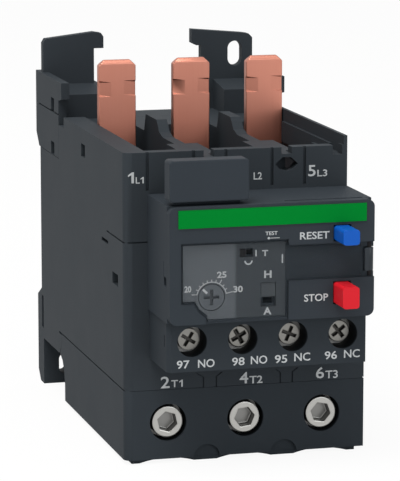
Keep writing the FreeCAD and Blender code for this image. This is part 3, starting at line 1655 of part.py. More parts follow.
def spring_coil(height):
    """A wound spring between a button's collar and the boss in the case, with flat sides."""
    wire = number("spring_wire")
    inner = number("spring_radius") - wire
    outer = number("spring_radius") + wire
    start = number(COLLAR_REAR) + wire + number("seat_gap")
    end = number(BOSS_FRONT) - wire - number("seat_gap")
    steps = COIL_SIDES * int(number("spring_turns"))
    middle = FreeCAD.Vector(number("button_place"), 0, number(high(height)))
    rings = []
    for step in range(steps + 1):
        angle = 2 * math.pi * step / COIL_SIDES
        out = FreeCAD.Vector(math.cos(angle), 0, math.sin(angle))
        level = FreeCAD.Vector(0, start + (end - start) * step / steps, 0)
        lift = FreeCAD.Vector(0, wire, 0)
        near = middle + level + out * inner
        far = middle + level + out * outer
        rings.append([near - lift, far - lift, far + lift, near + lift])
    patches = [rings[0], rings[-1]]
    for here, ahead in zip(rings, rings[1:]):
        for low, top in ((0, 1), (1, 2), (2, 3), (3, 0)):
            patches.append([here[low], here[top], ahead[top]])
            patches.append([here[low], ahead[top], ahead[low]])
    faces = [Part.Face(Part.makePolygon(patch + patch[:1])) for patch in patches]
    return Part.Solid(Part.Shell(faces))


for label, height, tall in (("reset", "reset_height", "reset_tall"), ("stop", "stop_height", "stop_tall")):
    cap = box(
        f"{label}_cap",
        ("button_place - button_half", "button_place + button_half"),
        (BUTTON_FACE, COLLAR_REAR),
        (high(f"{height} - {tall} / 2"), high(f"{height} + {tall} / 2")),
    )
    cap_round = rounded(f"{label}_round", cap, "button_round", lambda edge: runs_along(edge, Y_AXIS))
    collar = box(
        f"{label}_collar",
        ("button_place - button_half - collar_reach", "button_place + button_half + collar_reach"),
        (COLLAR_FRONT, COLLAR_REAR),
        (high(f"{height} - {tall} / 2 - collar_reach"), high(f"{height} + {tall} / 2 + collar_reach")),
    )
    stem = rod(
        f"{label}_stem",
        "y",
        ("button_place", COLLAR_FRONT, high(height)),
        "stem_radius",
        f"({STEM_END}) - ({COLLAR_FRONT})",
    )
    keep_as(f"{label}_button", fuse(f"{label}_button_solid", [cap_round, collar, stem]))
    spring = doc.addObject("Part::Feature", f"{label}_spring_solid")
    spring.Shape = spring_coil(height)
    keep_as(f"{label}_spring", spring)

# ---------------------------------------------------------------- window cover
# A clear flap over the setting plate; an arm between the two buttons carries it to its hinge.
cover_pane = window_corners("-cover_left", "cover_right", "cover_bottom", "cover_top", "0")
hinge_foot = high(f"{HINGE_LEVEL} - hinge_length / 2")
hinge_head = high(f"{HINGE_LEVEL} + hinge_length / 2")
cover_arm = [
    ("cover_right", high("arm_bottom")),
    ("hinge_place - arm_neck", high("arm_bottom")),
    ("hinge_place - arm_neck", hinge_foot),
    ("hinge_place - cover_gap", hinge_foot),
    ("hinge_place - cover_gap", hinge_head),
    ("hinge_place - arm_neck", hinge_head),
    ("hinge_place - arm_neck", high("arm_top")),
    ("cover_right", high("arm_top")),
]
cover_outline = cover_pane[:6] + cover_arm + cover_pane[6:]
COVER_BACK = fore("module_depth + cover_proud - cover_thick")
cover_sheet = prism("cover_sheet", "XZ_Plane", cover_outline, f"-({COVER_BACK})", "cover_thick")
cover_barrel = rod("cover_barrel", "z", ("hinge_place", HINGE_Y, hinge_foot), "hinge_barrel", "hinge_length")
cover_bore = rod("cover_bore", "z", HINGE_LOW, "hinge_pin + seat_gap", "hinge_length + 2 * hinge_hold")
keep_as("window_cover", cut("cover_cut", fuse("cover_solid", [cover_sheet, cover_barrel]), [cover_bore]))

# ---------------------------------------------------------------- marker plate
# A thick blank plate for the installer's label, on a foot clipped to the top of the module.
marker_block = box(
    "marker_block",
    ("-marker_left", "-marker_right"),
    (fore("marker_front"), fore("marker_front - marker_thick")),
    (high("marker_bottom"), high("marker_top")),
)
marker_round = rounded("marker_round", marker_block, "marker_round", lambda edge: runs_along(edge, Y_AXIS))
marker_foot = box(
    "marker_foot",
    ("-marker_left + marker_foot", "-marker_right - marker_foot"),
    (fore("marker_front - marker_thick / 2"), fore("marker_front - marker_thick / 2 - marker_foot")),
    (high("module_top"), high("marker_bottom + marker_foot")),
)
keep_as("marker_plate", fuse("marker_solid", [marker_round, marker_foot]))

# ---------------------------------------------------------------- auxiliary terminals
# A block under the control module with four screw terminals; each wire comes in from below,
# between a square plate and the contact strip.
AUX_FACE = fore("aux_depth")
PLATE_FRONT = "(aux_head_face - aux_head_length)"
aux_outline = [
    ("-aux_left", deep(0)),
    ("-aux_left", f"{AUX_FACE} + aux_chamfer"),
    ("-aux_left + aux_chamfer", AUX_FACE),
    ("aux_right", AUX_FACE),
    ("aux_right", deep(0)),
]
aux_block = prism("aux_block", "XY_Plane", aux_outline, high("aux_bottom"), "module_bottom - aux_bottom")
aux_cuts = []
for index in AUXES:
    aux_cuts.append(
        rod(
            f"aux_head_way_{index + 1}",
            "y",
            (aux(index), fore("aux_depth + overrun"), AUX_LEVEL),
            "aux_hole_radius",
            f"aux_depth + overrun - {PLATE_FRONT} + aux_room_gap",
        )
    )
    aux_cuts.append(
        box(
            f"aux_room_{index + 1}",
            (f"{aux(index)} - aux_room_half", f"{aux(index)} + aux_room_half"),
            (fore(f"{PLATE_FRONT} + fit_gap"), deep("overrun")),
            (high(f"aux_screw_height - {ROOM_HALF}"), high(f"aux_screw_height + {ROOM_HALF}")),
        )
    )
    aux_cuts.append(
        box(
            f"aux_mouth_{index + 1}",
            (f"{aux(index)} - aux_mouth_half", f"{aux(index)} + aux_mouth_half"),
            (fore("aux_mouth_front"), fore("contact_back")),
            (high("aux_bottom - overrun"), high("aux_screw_height - aux_plate_half")),
        )
    )
for label, low, top in STRIP_WAYS:
    aux_cuts.append(
        box(
            f"aux_strip_way_{label}",
            (low, top),
            (fore("contact_back + contact_thick + aux_room_gap"), deep("overrun")),
            (AUX_LEVEL, high("module_bottom + overrun")),
        )
    )
keep_as("aux_terminal_block", cut("aux_cut", aux_block, aux_cuts))

for index in AUXES:
    number_up = index + 1
    plate = box(
        f"aux_plate_blank_{number_up}",
        (f"{aux(index)} - aux_plate_half", f"{aux(index)} + aux_plate_half"),
        (fore(PLATE_FRONT), fore(f"{PLATE_FRONT} - aux_plate_thick")),
        (high("aux_screw_height - aux_plate_half"), high("aux_screw_height + aux_plate_half")),
    )
    plate_bore = rod(
        f"aux_plate_bore_{number_up}",
        "y",
        (aux(index), fore("aux_depth"), AUX_LEVEL),
        "aux_screw_radius + screw_clearance",
        "aux_depth",
    )
    keep_as(f"aux_clamp_plate_{number_up}", cut(f"aux_plate_cut_{number_up}", plate, [plate_bore]))

    head_y = fore("aux_head_face")
    axis = (aux(index), head_y, AUX_LEVEL)
    head = rod(f"aux_head_{number_up}", "y", axis, "aux_head_radius", "aux_head_length - seat_gap")
    shank = rod(f"aux_shank_{number_up}", "y", axis, "aux_screw_radius", "aux_head_face - aux_screw_end")
    slots = [
        box(
            f"aux_slot_flat_{number_up}",
            (f"{aux(index)} - aux_slot_half", f"{aux(index)} + aux_slot_half"),
            (f"{head_y} - overrun", f"{head_y} + aux_slot_depth"),
            (high("aux_screw_height - aux_slot_width / 2"), high("aux_screw_height + aux_slot_width / 2")),
        ),
        box(
            f"aux_slot_upright_{number_up}",
            (f"{aux(index)} - aux_slot_width / 2", f"{aux(index)} + aux_slot_width / 2"),
            (f"{head_y} - overrun", f"{head_y} + aux_slot_depth"),
            (high("aux_screw_height - aux_slot_half"), high("aux_screw_height + aux_slot_half")),
        ),
    ]
    screw = fuse(f"aux_screw_solid_{number_up}", [head, shank])
    keep_as(f"aux_screw_{number_up}", cut(f"aux_screw_cut_{number_up}", screw, slots))

# ---------------------------------------------------------------- check and write
doc.recompute()
faults = [thing.Name for thing in doc.Objects if {"Invalid", "Error"} & set(thing.State)]
faults += [label for label, thing in nodes.items() if thing.Shape.isNull() or not thing.Shape.isValid()]
if faults:
    raise RuntimeError("not built: " + ", ".join(sorted(set(faults))))
os.makedirs("parts", exist_ok=True)
for label, thing in nodes.items():
    thing.Shape.exportStep(os.path.join("parts", label + ".step"))
print(len(nodes), "sub-parts")
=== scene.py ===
import math

import bmesh
import bpy
from mathutils import Matrix, Vector


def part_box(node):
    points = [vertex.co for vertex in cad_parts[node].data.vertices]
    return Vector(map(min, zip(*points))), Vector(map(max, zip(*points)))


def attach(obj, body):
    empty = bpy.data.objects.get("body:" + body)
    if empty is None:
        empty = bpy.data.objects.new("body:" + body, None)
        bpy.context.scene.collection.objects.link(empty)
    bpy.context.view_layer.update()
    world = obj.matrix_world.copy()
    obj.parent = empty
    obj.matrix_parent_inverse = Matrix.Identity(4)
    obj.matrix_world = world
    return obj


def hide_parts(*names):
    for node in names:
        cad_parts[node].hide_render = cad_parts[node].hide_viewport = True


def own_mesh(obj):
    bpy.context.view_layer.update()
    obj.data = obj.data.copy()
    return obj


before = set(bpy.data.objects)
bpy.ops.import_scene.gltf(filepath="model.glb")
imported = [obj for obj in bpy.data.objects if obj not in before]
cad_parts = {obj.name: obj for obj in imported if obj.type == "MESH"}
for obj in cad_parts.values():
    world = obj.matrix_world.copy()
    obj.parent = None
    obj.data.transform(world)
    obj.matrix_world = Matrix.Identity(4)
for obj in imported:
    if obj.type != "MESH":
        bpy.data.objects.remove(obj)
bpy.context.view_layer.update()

# ---------------------------------------------------------------- camera and studio
# The relay stands on a pale floor under a large soft lamp above and to its left, with a weaker one
# in front and a faint one on the left. The camera looks from the front, a little from the left and
# from above.
MM = 0.001
EYE = Vector((-176.75, -647.67, 162.76)) * MM
AIM = Vector((-10.46, -32.65, 49.62)) * MM
LENS = 221.4
NEAREST = 0.01
AMBIENT = 0.42
FLOOR_SIZE = 6.0
FLOOR_GREY = 0.86
FLOOR_GLOW = 0.93
LAMP_SIDE = 0.9

camera = bpy.data.objects.new("camera", bpy.data.cameras.new("camera"))
camera.data.lens = LENS
camera.data.clip_start = NEAREST
camera.location = EYE
camera.rotation_euler = (AIM - EYE).to_track_quat("-Z", "Y").to_euler()
bpy.context.collection.objects.link(camera)
bpy.context.scene.camera = camera
bpy.context.scene.view_settings.view_transform = "Standard"


def add(tree, kind, **values):
    """A node with values on its inputs; a socket is linked and a number is set."""
    made = tree.nodes.new("ShaderNode" + kind)
    for name, value in values.items():
        socket = made.inputs[name.replace("_", " ")]
        if isinstance(value, bpy.types.NodeSocket):
            tree.links.new(value, socket)
        else:
            socket.default_value = value
    return made


def reckon(tree, operation, first, second=0.0, third=0.0):
    """One step of arithmetic on sockets or numbers."""
    step = tree.nodes.new("ShaderNodeMath")
    step.operation = operation
    for socket, value in zip(step.inputs, (first, second, third)):
        if isinstance(value, bpy.types.NodeSocket):
            tree.links.new(value, socket)
        else:
            socket.default_value = value
    return step.outputs[0]


def seen_directly(tree):
    """A mask that is 1 for what the camera, a gloss or a clear sheet sees."""
    path = tree.nodes.new("ShaderNodeLightPath").outputs
    seen = reckon(tree, "MAXIMUM", path["Is Camera Ray"], path["Is Glossy Ray"])
    return reckon(tree, "MAXIMUM", seen, path["Is Transmission Ray"])


world = bpy.data.worlds.new("studio")
bpy.context.scene.world = world
world.use_nodes = True
room = world.node_tree
backdrop = room.nodes["Background"]
backdrop.inputs["Color"].default_value = (1.0, 1.0, 1.0, 1.0)
strength = add(room, "MapRange", Value=seen_directly(room), To_Min=AMBIENT, To_Max=1.0)
room.links.new(strength.outputs["Result"], backdrop.inputs["Strength"])

sheet = bmesh.new()
bmesh.ops.create_grid(sheet, x_segments=1, y_segments=1, size=FLOOR_SIZE / 2)
floor_mesh = bpy.data.meshes.new("floor")
sheet.to_mesh(floor_mesh)
sheet.free()
floor = bpy.data.objects.new("floor", floor_mesh)
bpy.context.collection.objects.link(floor)
paper = bpy.data.materials.new("paper")
paper.use_nodes = True
paper_tree = paper.node_tree
matt = paper_tree.nodes["Principled BSDF"]
matt.inputs["Base Color"].default_value = (FLOOR_GREY, FLOOR_GREY, FLOOR_GREY, 1.0)
matt.inputs["Roughness"].default_value = 0.9
glow = paper_tree.nodes.new("ShaderNodeEmission")
lit = paper_tree.nodes.new("ShaderNodeMixShader")
share = reckon(paper_tree, "MULTIPLY", seen_directly(paper_tree), FLOOR_GLOW)
paper_tree.links.new(share, lit.inputs["Fac"])
paper_tree.links.new(matt.outputs["BSDF"], lit.inputs[1])
paper_tree.links.new(glow.outputs["Emission"], lit.inputs[2])
paper_tree.links.new(lit.outputs["Shader"], paper_tree.nodes["Material Output"].inputs["Surface"])
floor_mesh.materials.append(paper)


def lamp(name, place, power, colour):
    """A square soft lamp that points at the relay."""
    light = bpy.data.lights.new(name, "AREA")
    light.size = LAMP_SIDE
    light.energy = power
    light.color = colour
    holder = bpy.data.objects.new(name, light)
    holder.location = place
    holder.rotation_euler = (AIM - Vector(place)).to_track_quat("-Z", "Y").to_euler()
    bpy.context.collection.objects.link(holder)


lamp("top_lamp", (-0.38, -0.50, 1.30), 20.0, (1.0, 0.98, 0.96))
lamp("left_lamp", (-1.5, -0.5, 0.7), 1.2, (1.0, 0.985, 0.96))
lamp("front_lamp", (0.5, -1.6, 0.5), 6.0, (0.94, 0.97, 1.0))

# ---------------------------------------------------------------- housing and mounting base
# The two large mouldings, of dark grey glass-filled nylon with a fine spark-eroded grain. Their
# edges are slightly rounded by the mould, and the pole numbers are printed in white.
HOUSING_COLOUR = (0.028, 0.034, 0.040)
HOUSING_EDGE = 0.25 * MM
GRAIN_DEPTH = 0.02 * MM
SHEEN_SPREAD = 0.06
WELD = 0.002 * MM
FLAT_ANGLE = math.radians(1.0)
EDGE_ANGLE = math.radians(32.0)

grain = bpy.data.node_groups.new("moulded_grain", "ShaderNodeTree")
for name, value in (("Size", 4200.0), ("Cloud", 90.0)):
    grain.interface.new_socket(name, in_out="INPUT", socket_type="NodeSocketFloat").default_value = value
for name in ("Tone", "Sheen", "Height"):
    grain.interface.new_socket(name, in_out="OUTPUT", socket_type="NodeSocketFloat")
wanted = grain.nodes.new("NodeGroupInput").outputs
grained = grain.nodes.new("NodeGroupOutput").inputs
spot = grain.nodes.new("ShaderNodeTexCoord").outputs["Object"]
fine = add(grain, "TexNoise", Vector=spot, Scale=wanted["Size"], Detail=2.0, Roughness=0.6)
cloud = add(grain, "TexNoise", Vector=spot, Scale=wanted["Cloud"], Detail=4.0, Roughness=0.55)
tone = add(grain, "Mix", Factor=0.55, A=cloud.outputs["Fac"], B=fine.outputs["Fac"])
grain.links.new(tone.outputs["Result"], grained["Tone"])
grain.links.new(cloud.outputs["Fac"], grained["Sheen"])
grain.links.new(fine.outputs["Fac"], grained["Height"])


def bare_material(name):
    """A new material, with its node tree and its shader."""
    material = bpy.data.materials.new(name)
    material.use_nodes = True
    return material, material.node_tree, material.node_tree.nodes["Principled BSDF"]


def between(tree, factor, first, second):
    """A colour that runs from the first to the second as the factor goes from 0 to 1."""
    shade = tree.nodes.new("ShaderNodeMix")
    shade.data_type = "RGBA"
    shade.inputs["A"].default_value = tuple(first) + (1.0,)
    shade.inputs["B"].default_value = tuple(second) + (1.0,)
    tree.links.new(factor, shade.inputs["Factor"])
    return shade.outputs["Result"]


def moulded_plastic(name, colour, roughness=0.62, gloss=0.06, relief=0.25, contrast=0.16):
    """Plastic with a fine moulded grain, a faint cloudiness and an uneven sheen."""
    material, tree, shader = bare_material(name)
    surface = tree.nodes.new("ShaderNodeGroup")
    surface.node_tree = grain
    deep = [channel * (1.0 - contrast) for channel in colour]
    pale = [channel * (1.0 + contrast) for channel in colour]
    tree.links.new(between(tree, surface.outputs["Tone"], deep, pale), shader.inputs["Base Color"])
    dull = add(
        tree, "MapRange", Value=surface.outputs["Sheen"],
        To_Min=roughness - SHEEN_SPREAD, To_Max=roughness + SHEEN_SPREAD,
    )
    tree.links.new(dull.outputs["Result"], shader.inputs["Roughness"])
    dents = add(tree, "Bump", Height=surface.outputs["Height"], Strength=relief, Distance=GRAIN_DEPTH)
    tree.links.new(dents.outputs["Normal"], shader.inputs["Normal"])
    shader.inputs["Specular IOR Level"].default_value = gloss
    return material


def milled(mesh, *boxes):
    """Cuts boxes, given in millimetres as three spans, out of a mesh."""
    cutter = bmesh.new()
    for spans in boxes:
        size = Matrix.Diagonal([(top - low) * MM for low, top in spans] + [1.0])
        centre = Matrix.Translation([(low + top) / 2 * MM for low, top in spans])
        bmesh.ops.create_cube(cutter, size=1.0, matrix=centre @ size)
    tool_mesh = bpy.data.meshes.new("mill")
    cutter.to_mesh(tool_mesh)
    cutter.free()
    tool = bpy.data.objects.new("mill", tool_mesh)
    blank = bpy.data.objects.new("blank", mesh)
    for item in (tool, blank):
        bpy.context.collection.objects.link(item)
    cut = blank.modifiers.new("cut", "BOOLEAN")
    cut.operation = "DIFFERENCE"
    cut.solver = "EXACT"
    cut.use_self = True
    cut.object = tool
    bpy.context.view_layer.update()
    done = bpy.data.meshes.new_from_object(blank.evaluated_get(bpy.context.evaluated_depsgraph_get()))
    bpy.data.objects.remove(blank)
    bpy.data.objects.remove(tool)
    return done


def merged(node):
    """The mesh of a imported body, with its loose triangles joined."""
    shell = bmesh.new()
    shell.from_mesh(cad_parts[node].data)
    bmesh.ops.remove_doubles(shell, verts=shell.verts, dist=WELD)
    return shell


def edged(node, material, edge, body="root", cuts=(), turn=0.0):
    """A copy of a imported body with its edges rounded, shown in its place."""
    shell = merged(node)
    bmesh.ops.dissolve_limit(
        shell, angle_limit=FLAT_ANGLE, use_dissolve_boundaries=False,
        verts=shell.verts, edges=shell.edges, delimit={"NORMAL"},
    )
    if turn:
        low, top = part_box(node)
        about_y = Matrix.Rotation(turn, 3, "Y")
        bmesh.ops.rotate(shell, verts=shell.verts, cent=(low + top) / 2, matrix=about_y)
    mesh = bpy.data.meshes.new(node + "_edged")
    shell.to_mesh(mesh)
    shell.free()
    if cuts:
        mesh = milled(mesh, *cuts)
    mesh.materials.clear()
    mesh.materials.append(material)
    piece = bpy.data.objects.new(node + "_edged", mesh)
    bpy.context.collection.objects.link(piece)
    rounding = piece.modifiers.new("rounding", "BEVEL")
    rounding.width = edge
    rounding.segments = 2
    rounding.limit_method = "ANGLE"
    rounding.angle_limit = EDGE_ANGLE
    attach(piece, body)
    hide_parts(node)
    return piece


# Shallow cuts in millimetres, each started outside the solid: the right side steps down behind the
# module, a seam runs round the housing above the terminal block, and the right side has two slots.
BLOCK_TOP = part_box("load_terminal_block")[1].z / MM
BASE_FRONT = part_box("mounting_base")[0].y / MM
AHEAD = -33.0
OUTSIDE = 28.0
SEAM_INSIDE = 27.2
SEAM_BACK = 34.0
SLOT_INSIDE = 26.7

seam = (BLOCK_TOP - 0.2, BLOCK_TOP + 0.3)
right_step = ((23.2, OUTSIDE), (AHEAD, BASE_FRONT - 0.15), (57.6, 61.2))
left_seam = ((-OUTSIDE, -SEAM_INSIDE), (AHEAD, SEAM_BACK), seam)
right_seam = ((SEAM_INSIDE, OUTSIDE), (AHEAD, SEAM_BACK), seam)
front_seam = ((-OUTSIDE, OUTSIDE), (AHEAD, -32.5), (BLOCK_TOP - 0.2, BLOCK_TOP + 0.1))
low_slot = ((SLOT_INSIDE, OUTSIDE), (-22.0, -19.6), (42.0, 45.4))
high_slot = ((SLOT_INSIDE, OUTSIDE), (-18.2, -15.2), (51.2, 52.1))
housing_cuts = (right_step, left_seam, right_seam, front_seam, low_slot, high_slot)
housing_plastic = moulded_plastic("housing_plastic", HOUSING_COLOUR)
edged("power_housing", housing_plastic, HOUSING_EDGE, cuts=housing_cuts)
edged("mounting_base", housing_plastic, HOUSING_EDGE)

# White print: flat letters a twentieth of a millimetre thick, in the finish of matt ink. The
# figure one has a flag, which the plain letter shapes leave out.
INK_COLOUR = (0.43, 0.45, 0.46)
INK_THICK = 0.05
STROKE_WEIGHT = 0.012
ink = moulded_plastic("white_ink", INK_COLOUR, relief=0.1, contrast=0.08)


def shown(name, mesh, material, body="root"):
    """A new piece from a finished mesh, riding on its body."""
    mesh.materials.clear()
    mesh.materials.append(material)
    piece = bpy.data.objects.new(name, mesh)
    bpy.context.collection.objects.link(piece)
    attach(piece, body)
    return piece


def laid_on(mesh, left, right, low, top, face):
    """Fits a flat drawing into its box, in millimetres, on a plane that faces the front."""
    corners = [vertex.co for vertex in mesh.vertices]
    start = Vector([min(corner[axis] for corner in corners) for axis in range(3)])
    end = Vector([max(corner[axis] for corner in corners) for axis in range(3)])
    spans = (right - left, top - low, INK_THICK)
    fit = [span * MM / (far - near) for span, near, far in zip(spans, start, end)]
    mesh.transform(Matrix.Translation(-start))
    mesh.transform(Matrix.Diagonal(fit + [1.0]))
    upright = Matrix.Rotation(math.pi / 2, 4, "X")
    mesh.transform(Matrix.Translation((left * MM, face, low * MM)) @ upright)


def printed(name, words, left, right, low, top, face, weight=STROKE_WEIGHT):
    """Lettering on a plane that faces the front."""
    curve = bpy.data.curves.new(name, "FONT")
    curve.body = words
    curve.extrude = 0.5
    curve.offset = weight
    curve.resolution_u = 3
    holder = bpy.data.objects.new(name, curve)
    bpy.context.collection.objects.link(holder)
    bpy.context.view_layer.update()
    mesh = bpy.data.meshes.new_from_object(holder.evaluated_get(bpy.context.evaluated_depsgraph_get()))
    bpy.data.objects.remove(holder)
    laid_on(mesh, left, right, low, top, face)
    shown(name, mesh, ink)


def figure_one(name, left, right, low, top, face):
    """The figure one: an upright stroke with a slanting flag at its head."""
    drawing = bmesh.new()
    foot = ((0.58, 0.0), (1.0, 0.0), (1.0, 1.0), (0.70, 1.0))
    flag = ((0.0, 0.76), (0.0, 0.60), (0.58, 0.76))
    corners = [drawing.verts.new((across, up, 0.0)) for across, up in foot + flag]
    raised = bmesh.ops.extrude_face_region(drawing, geom=[drawing.faces.new(corners)])["geom"]
    lifted = [item for item in raised if isinstance(item, bmesh.types.BMVert)]
    bmesh.ops.translate(drawing, verts=lifted, vec=(0.0, 0.0, 1.0))
    bmesh.ops.recalc_face_normals(drawing, faces=drawing.faces)
    mesh = bpy.data.meshes.new(name)
    drawing.to_mesh(mesh)
    drawing.free()
    laid_on(mesh, left, right, low, top, face)
    shown(name, mesh, ink)


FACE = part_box("load_terminal_block")[0].y
for name, words, left, right, low, top in (
    ("mark_line_L1", "L", -24.9, -24.0, 62.8, 64.2),
    ("mark_3", "3", -1.2, 0.4, 62.7, 65.2),
    ("mark_L2", "L2", 1.7, 3.6, 62.6, 64.2),
    ("mark_5", "5", 14.2, 15.9, 62.8, 65.3),
    ("mark_L3", "L3", 16.3, 18.6, 62.7, 64.2),
    ("mark_2", "2", -19.4, -17.4, 17.0, 19.6),
    ("mark_load_T1", "T", -17.0, -15.5, 17.1, 18.7),
    ("mark_4", "4", -1.4, 0.6, 17.0, 19.6),
    ("mark_T2", "T2", 0.9, 3.9, 16.9, 18.6),
    ("mark_6", "6", 16.3, 18.2, 17.1, 19.7),
    ("mark_T3", "T3", 18.5, 21.4, 17.0, 18.8),
):
    printed(name, words, left, right, low, top, FACE)
figure_one("mark_1", -26.6, -25.3, 62.9, 65.3, FACE)
figure_one("mark_one_L1", -23.8, -23.1, 62.8, 64.2, FACE)
figure_one("mark_one_T1", -15.2, -14.4, 17.1, 18.7, FACE)

# ---------------------------------------------------------------- terminal block and cable guide
# The lower moulding and the frame under it are of the same nylon as the housing, a shade darker.
# The block sits under the housing, and its screws stand in deep holes, whose insides are darkened
# with painted shade. The insulating lids in the open channels are a plain dark moulding.
BLOCK_COLOUR = (0.026, 0.032, 0.038)
INNER_COLOUR = (0.017, 0.016, 0.017)
LOAD_HOLE = 4.3
CONTROL_HOLE = 3.5
HOLE_PAINTED_SHADE = (0.25, 0.25, 0.25)
HOLE_START = 0.3 * MM
RING_PITCH = 9000.0

# The group finds how far a point is from the nearest axis in a row of screws of equal pitch, and
# masks the inside of each recess, where painted shade goes.
turned = bpy.data.node_groups.new("screw_row", "ShaderNodeTree")
for name in ("Pitch", "First", "Level", "Face", "Recess"):
    turned.interface.new_socket(name, in_out="INPUT", socket_type="NodeSocketFloat")
for name in ("Rings", "Hollow"):
    turned.interface.new_socket(name, in_out="OUTPUT", socket_type="NodeSocketFloat")
row_values = turned.nodes.new("NodeGroupInput").outputs
row_results = turned.nodes.new("NodeGroupOutput").inputs
here = turned.nodes.new("ShaderNodeTexCoord").outputs["Object"]
point = add(turned, "SeparateXYZ", Vector=here).outputs
half = reckon(turned, "MULTIPLY", row_values["Pitch"], 0.5)
offset = reckon(turned, "SUBTRACT", point["X"], row_values["First"])
beside = reckon(turned, "WRAP", offset, half, reckon(turned, "MULTIPLY", half, -1.0))
above = reckon(turned, "SUBTRACT", point["Z"], row_values["Level"])
beside_squared = reckon(turned, "MULTIPLY", beside, beside)
above_squared = reckon(turned, "MULTIPLY", above, above)
radius = reckon(turned, "SQRT", reckon(turned, "ADD", beside_squared, above_squared))
circle = add(turned, "CombineXYZ", X=radius)
rings = add(turned, "TexNoise", Vector=circle.outputs["Vector"], Scale=RING_PITCH, Detail=2.0)
depth = reckon(turned, "SUBTRACT", point["Y"], row_values["Face"])
sunk = add(turned, "MapRange", Value=depth, From_Min=0.05 * MM, From_Max=0.5 * MM)
inside = reckon(turned, "LESS_THAN", radius, row_values["Recess"])
turned.links.new(rings.outputs["Fac"], row_results["Rings"])
turned.links.new(reckon(turned, "MULTIPLY", sunk.outputs["Result"], inside), row_results["Hollow"])


def middle(node, axis):
    """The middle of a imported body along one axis."""
    low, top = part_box(node)
    return (low[axis] + top[axis]) / 2


def screw_row(tree, screw, next_screw, face, recess):
    """The screw row's group, set to a row that starts at one screw and goes on with the next."""
    row = tree.nodes.new("ShaderNodeGroup")
    row.node_tree = turned
    row.inputs["Pitch"].default_value = middle(next_screw, 0) - middle(screw, 0)
    row.inputs["First"].default_value = middle(screw, 0)
    row.inputs["Level"].default_value = middle(screw, 2)
    row.inputs["Face"].default_value = face
    row.inputs["Recess"].default_value = recess * MM
    return row


def toned_or_painted_shade(material, mask, shade):
    """Multiplies a plastic's colour by a second colour wherever the mask is 1: painted shade in recesses,
    and the plate's second tone.
    """
    tree = material.node_tree
    shader = tree.nodes["Principled BSDF"]
    plain = shader.inputs["Base Color"].links[0].from_socket
    both = tree.nodes.new("ShaderNodeMix")
    both.data_type = "RGBA"
    both.blend_type = "MULTIPLY"
    both.inputs["B"].default_value = tuple(shade) + (1.0,)
    tree.links.new(mask, both.inputs["Factor"])
    tree.links.new(plain, both.inputs["A"])
    tree.links.new(both.outputs["Result"], shader.inputs["Base Color"])


def dress(node, material):
    """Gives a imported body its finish."""
    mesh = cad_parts[node].data
    mesh.materials.clear()
    mesh.materials.append(material)


cable_plastic = moulded_plastic("cable_plastic", BLOCK_COLOUR)
edged("cable_guide", cable_plastic, HOUSING_EDGE)
left_nick = ((-23.0, -21.4), (-45.9, -45.4), (29.2, 31.8))
for node, screw, next_screw, hole, cuts in (
    ("load_terminal_block", "clamp_screw_1", "clamp_screw_2", LOAD_HOLE, ()),
    ("aux_terminal_block", "aux_screw_1", "aux_screw_2", CONTROL_HOLE, (left_nick,)),
):
    moulding = moulded_plastic(node + "_plastic", BLOCK_COLOUR)
    row = screw_row(moulding.node_tree, screw, next_screw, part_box(node)[0].y + HOLE_START, hole)
    # Painted shade: the insides of the screw holes are darkened.
    toned_or_painted_shade(moulding, row.outputs["Hollow"], HOLE_PAINTED_SHADE)
    edged(node, moulding, HOUSING_EDGE, cuts=cuts)
inner_plastic = moulded_plastic("inner_plastic", INNER_COLOUR)
# The lids' colour is darker than the block's, partly as painted shade of the deep channels they sit in.
dress("chamber_lids", inner_plastic)

# The numbers of the control terminals, under their screws.
CONTROL_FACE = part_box("aux_terminal_block")[0].y
for name, words, left, right, low, top in (
    ("mark_97", "97", -19.8, -17.0, 24.7, 26.5),
    ("mark_97_kind", "NO", -15.1, -11.4, 24.7, 26.5),
    ("mark_98", "98", -7.5, -4.7, 24.7, 26.5),
    ("mark_98_kind", "NO", -3.3, 0.4, 24.8, 26.6),
    ("mark_95", "95", 2.1, 4.9, 24.7, 26.5),
    ("mark_95_kind", "NC", 6.5, 10.1, 24.9, 26.7),
    ("mark_96", "96", 13.4, 16.2, 24.9, 26.7),
    ("mark_96_kind", "NC", 17.8, 21.4, 25.0, 26.8),
):
    printed(name, words, left, right, low, top, CONTROL_FACE)

# ---------------------------------------------------------------- copper bars
# Drawn copper: satin, with fine streaks along the bar, bright at the top and warmer in cloudy
# patches. Low down it is darker and warmer with painted shade, where the bars go into the channel.
COPPER_BRIGHT = (0.47, 0.195, 0.140)
COPPER_SHADED_WARM = (0.44, 0.155, 0.105)
SHADED_BELOW = 0.050
UNSHADED_ABOVE = 0.074
BAR_EDGE = 0.2 * MM
SCRATCH_DEPTH = 0.01 * MM


def stretched(tree, scale):
    """Object coordinates, finer along the axes whose scale is larger."""
    where = tree.nodes.new("ShaderNodeTexCoord")
    return add(tree, "Mapping", Vector=where.outputs["Object"], Scale=scale).outputs["Vector"]


def along(tree, axis, what="Object"):
    """A point's own coordinate along one axis, or its normal's."""
    where = tree.nodes.new("ShaderNodeTexCoord")
    return add(tree, "SeparateXYZ", Vector=where.outputs[what]).outputs[axis]


def satin(tree, shader, pattern, low, top, relief):
    """Makes a metal's roughness and its finest relief follow a pattern."""
    rough = add(tree, "MapRange", Value=pattern, To_Min=low, To_Max=top)
    tree.links.new(rough.outputs["Result"], shader.inputs["Roughness"])
    scratches = add(tree, "Bump", Height=pattern, Strength=relief, Distance=SCRATCH_DEPTH)
    tree.links.new(scratches.outputs["Normal"], shader.inputs["Normal"])


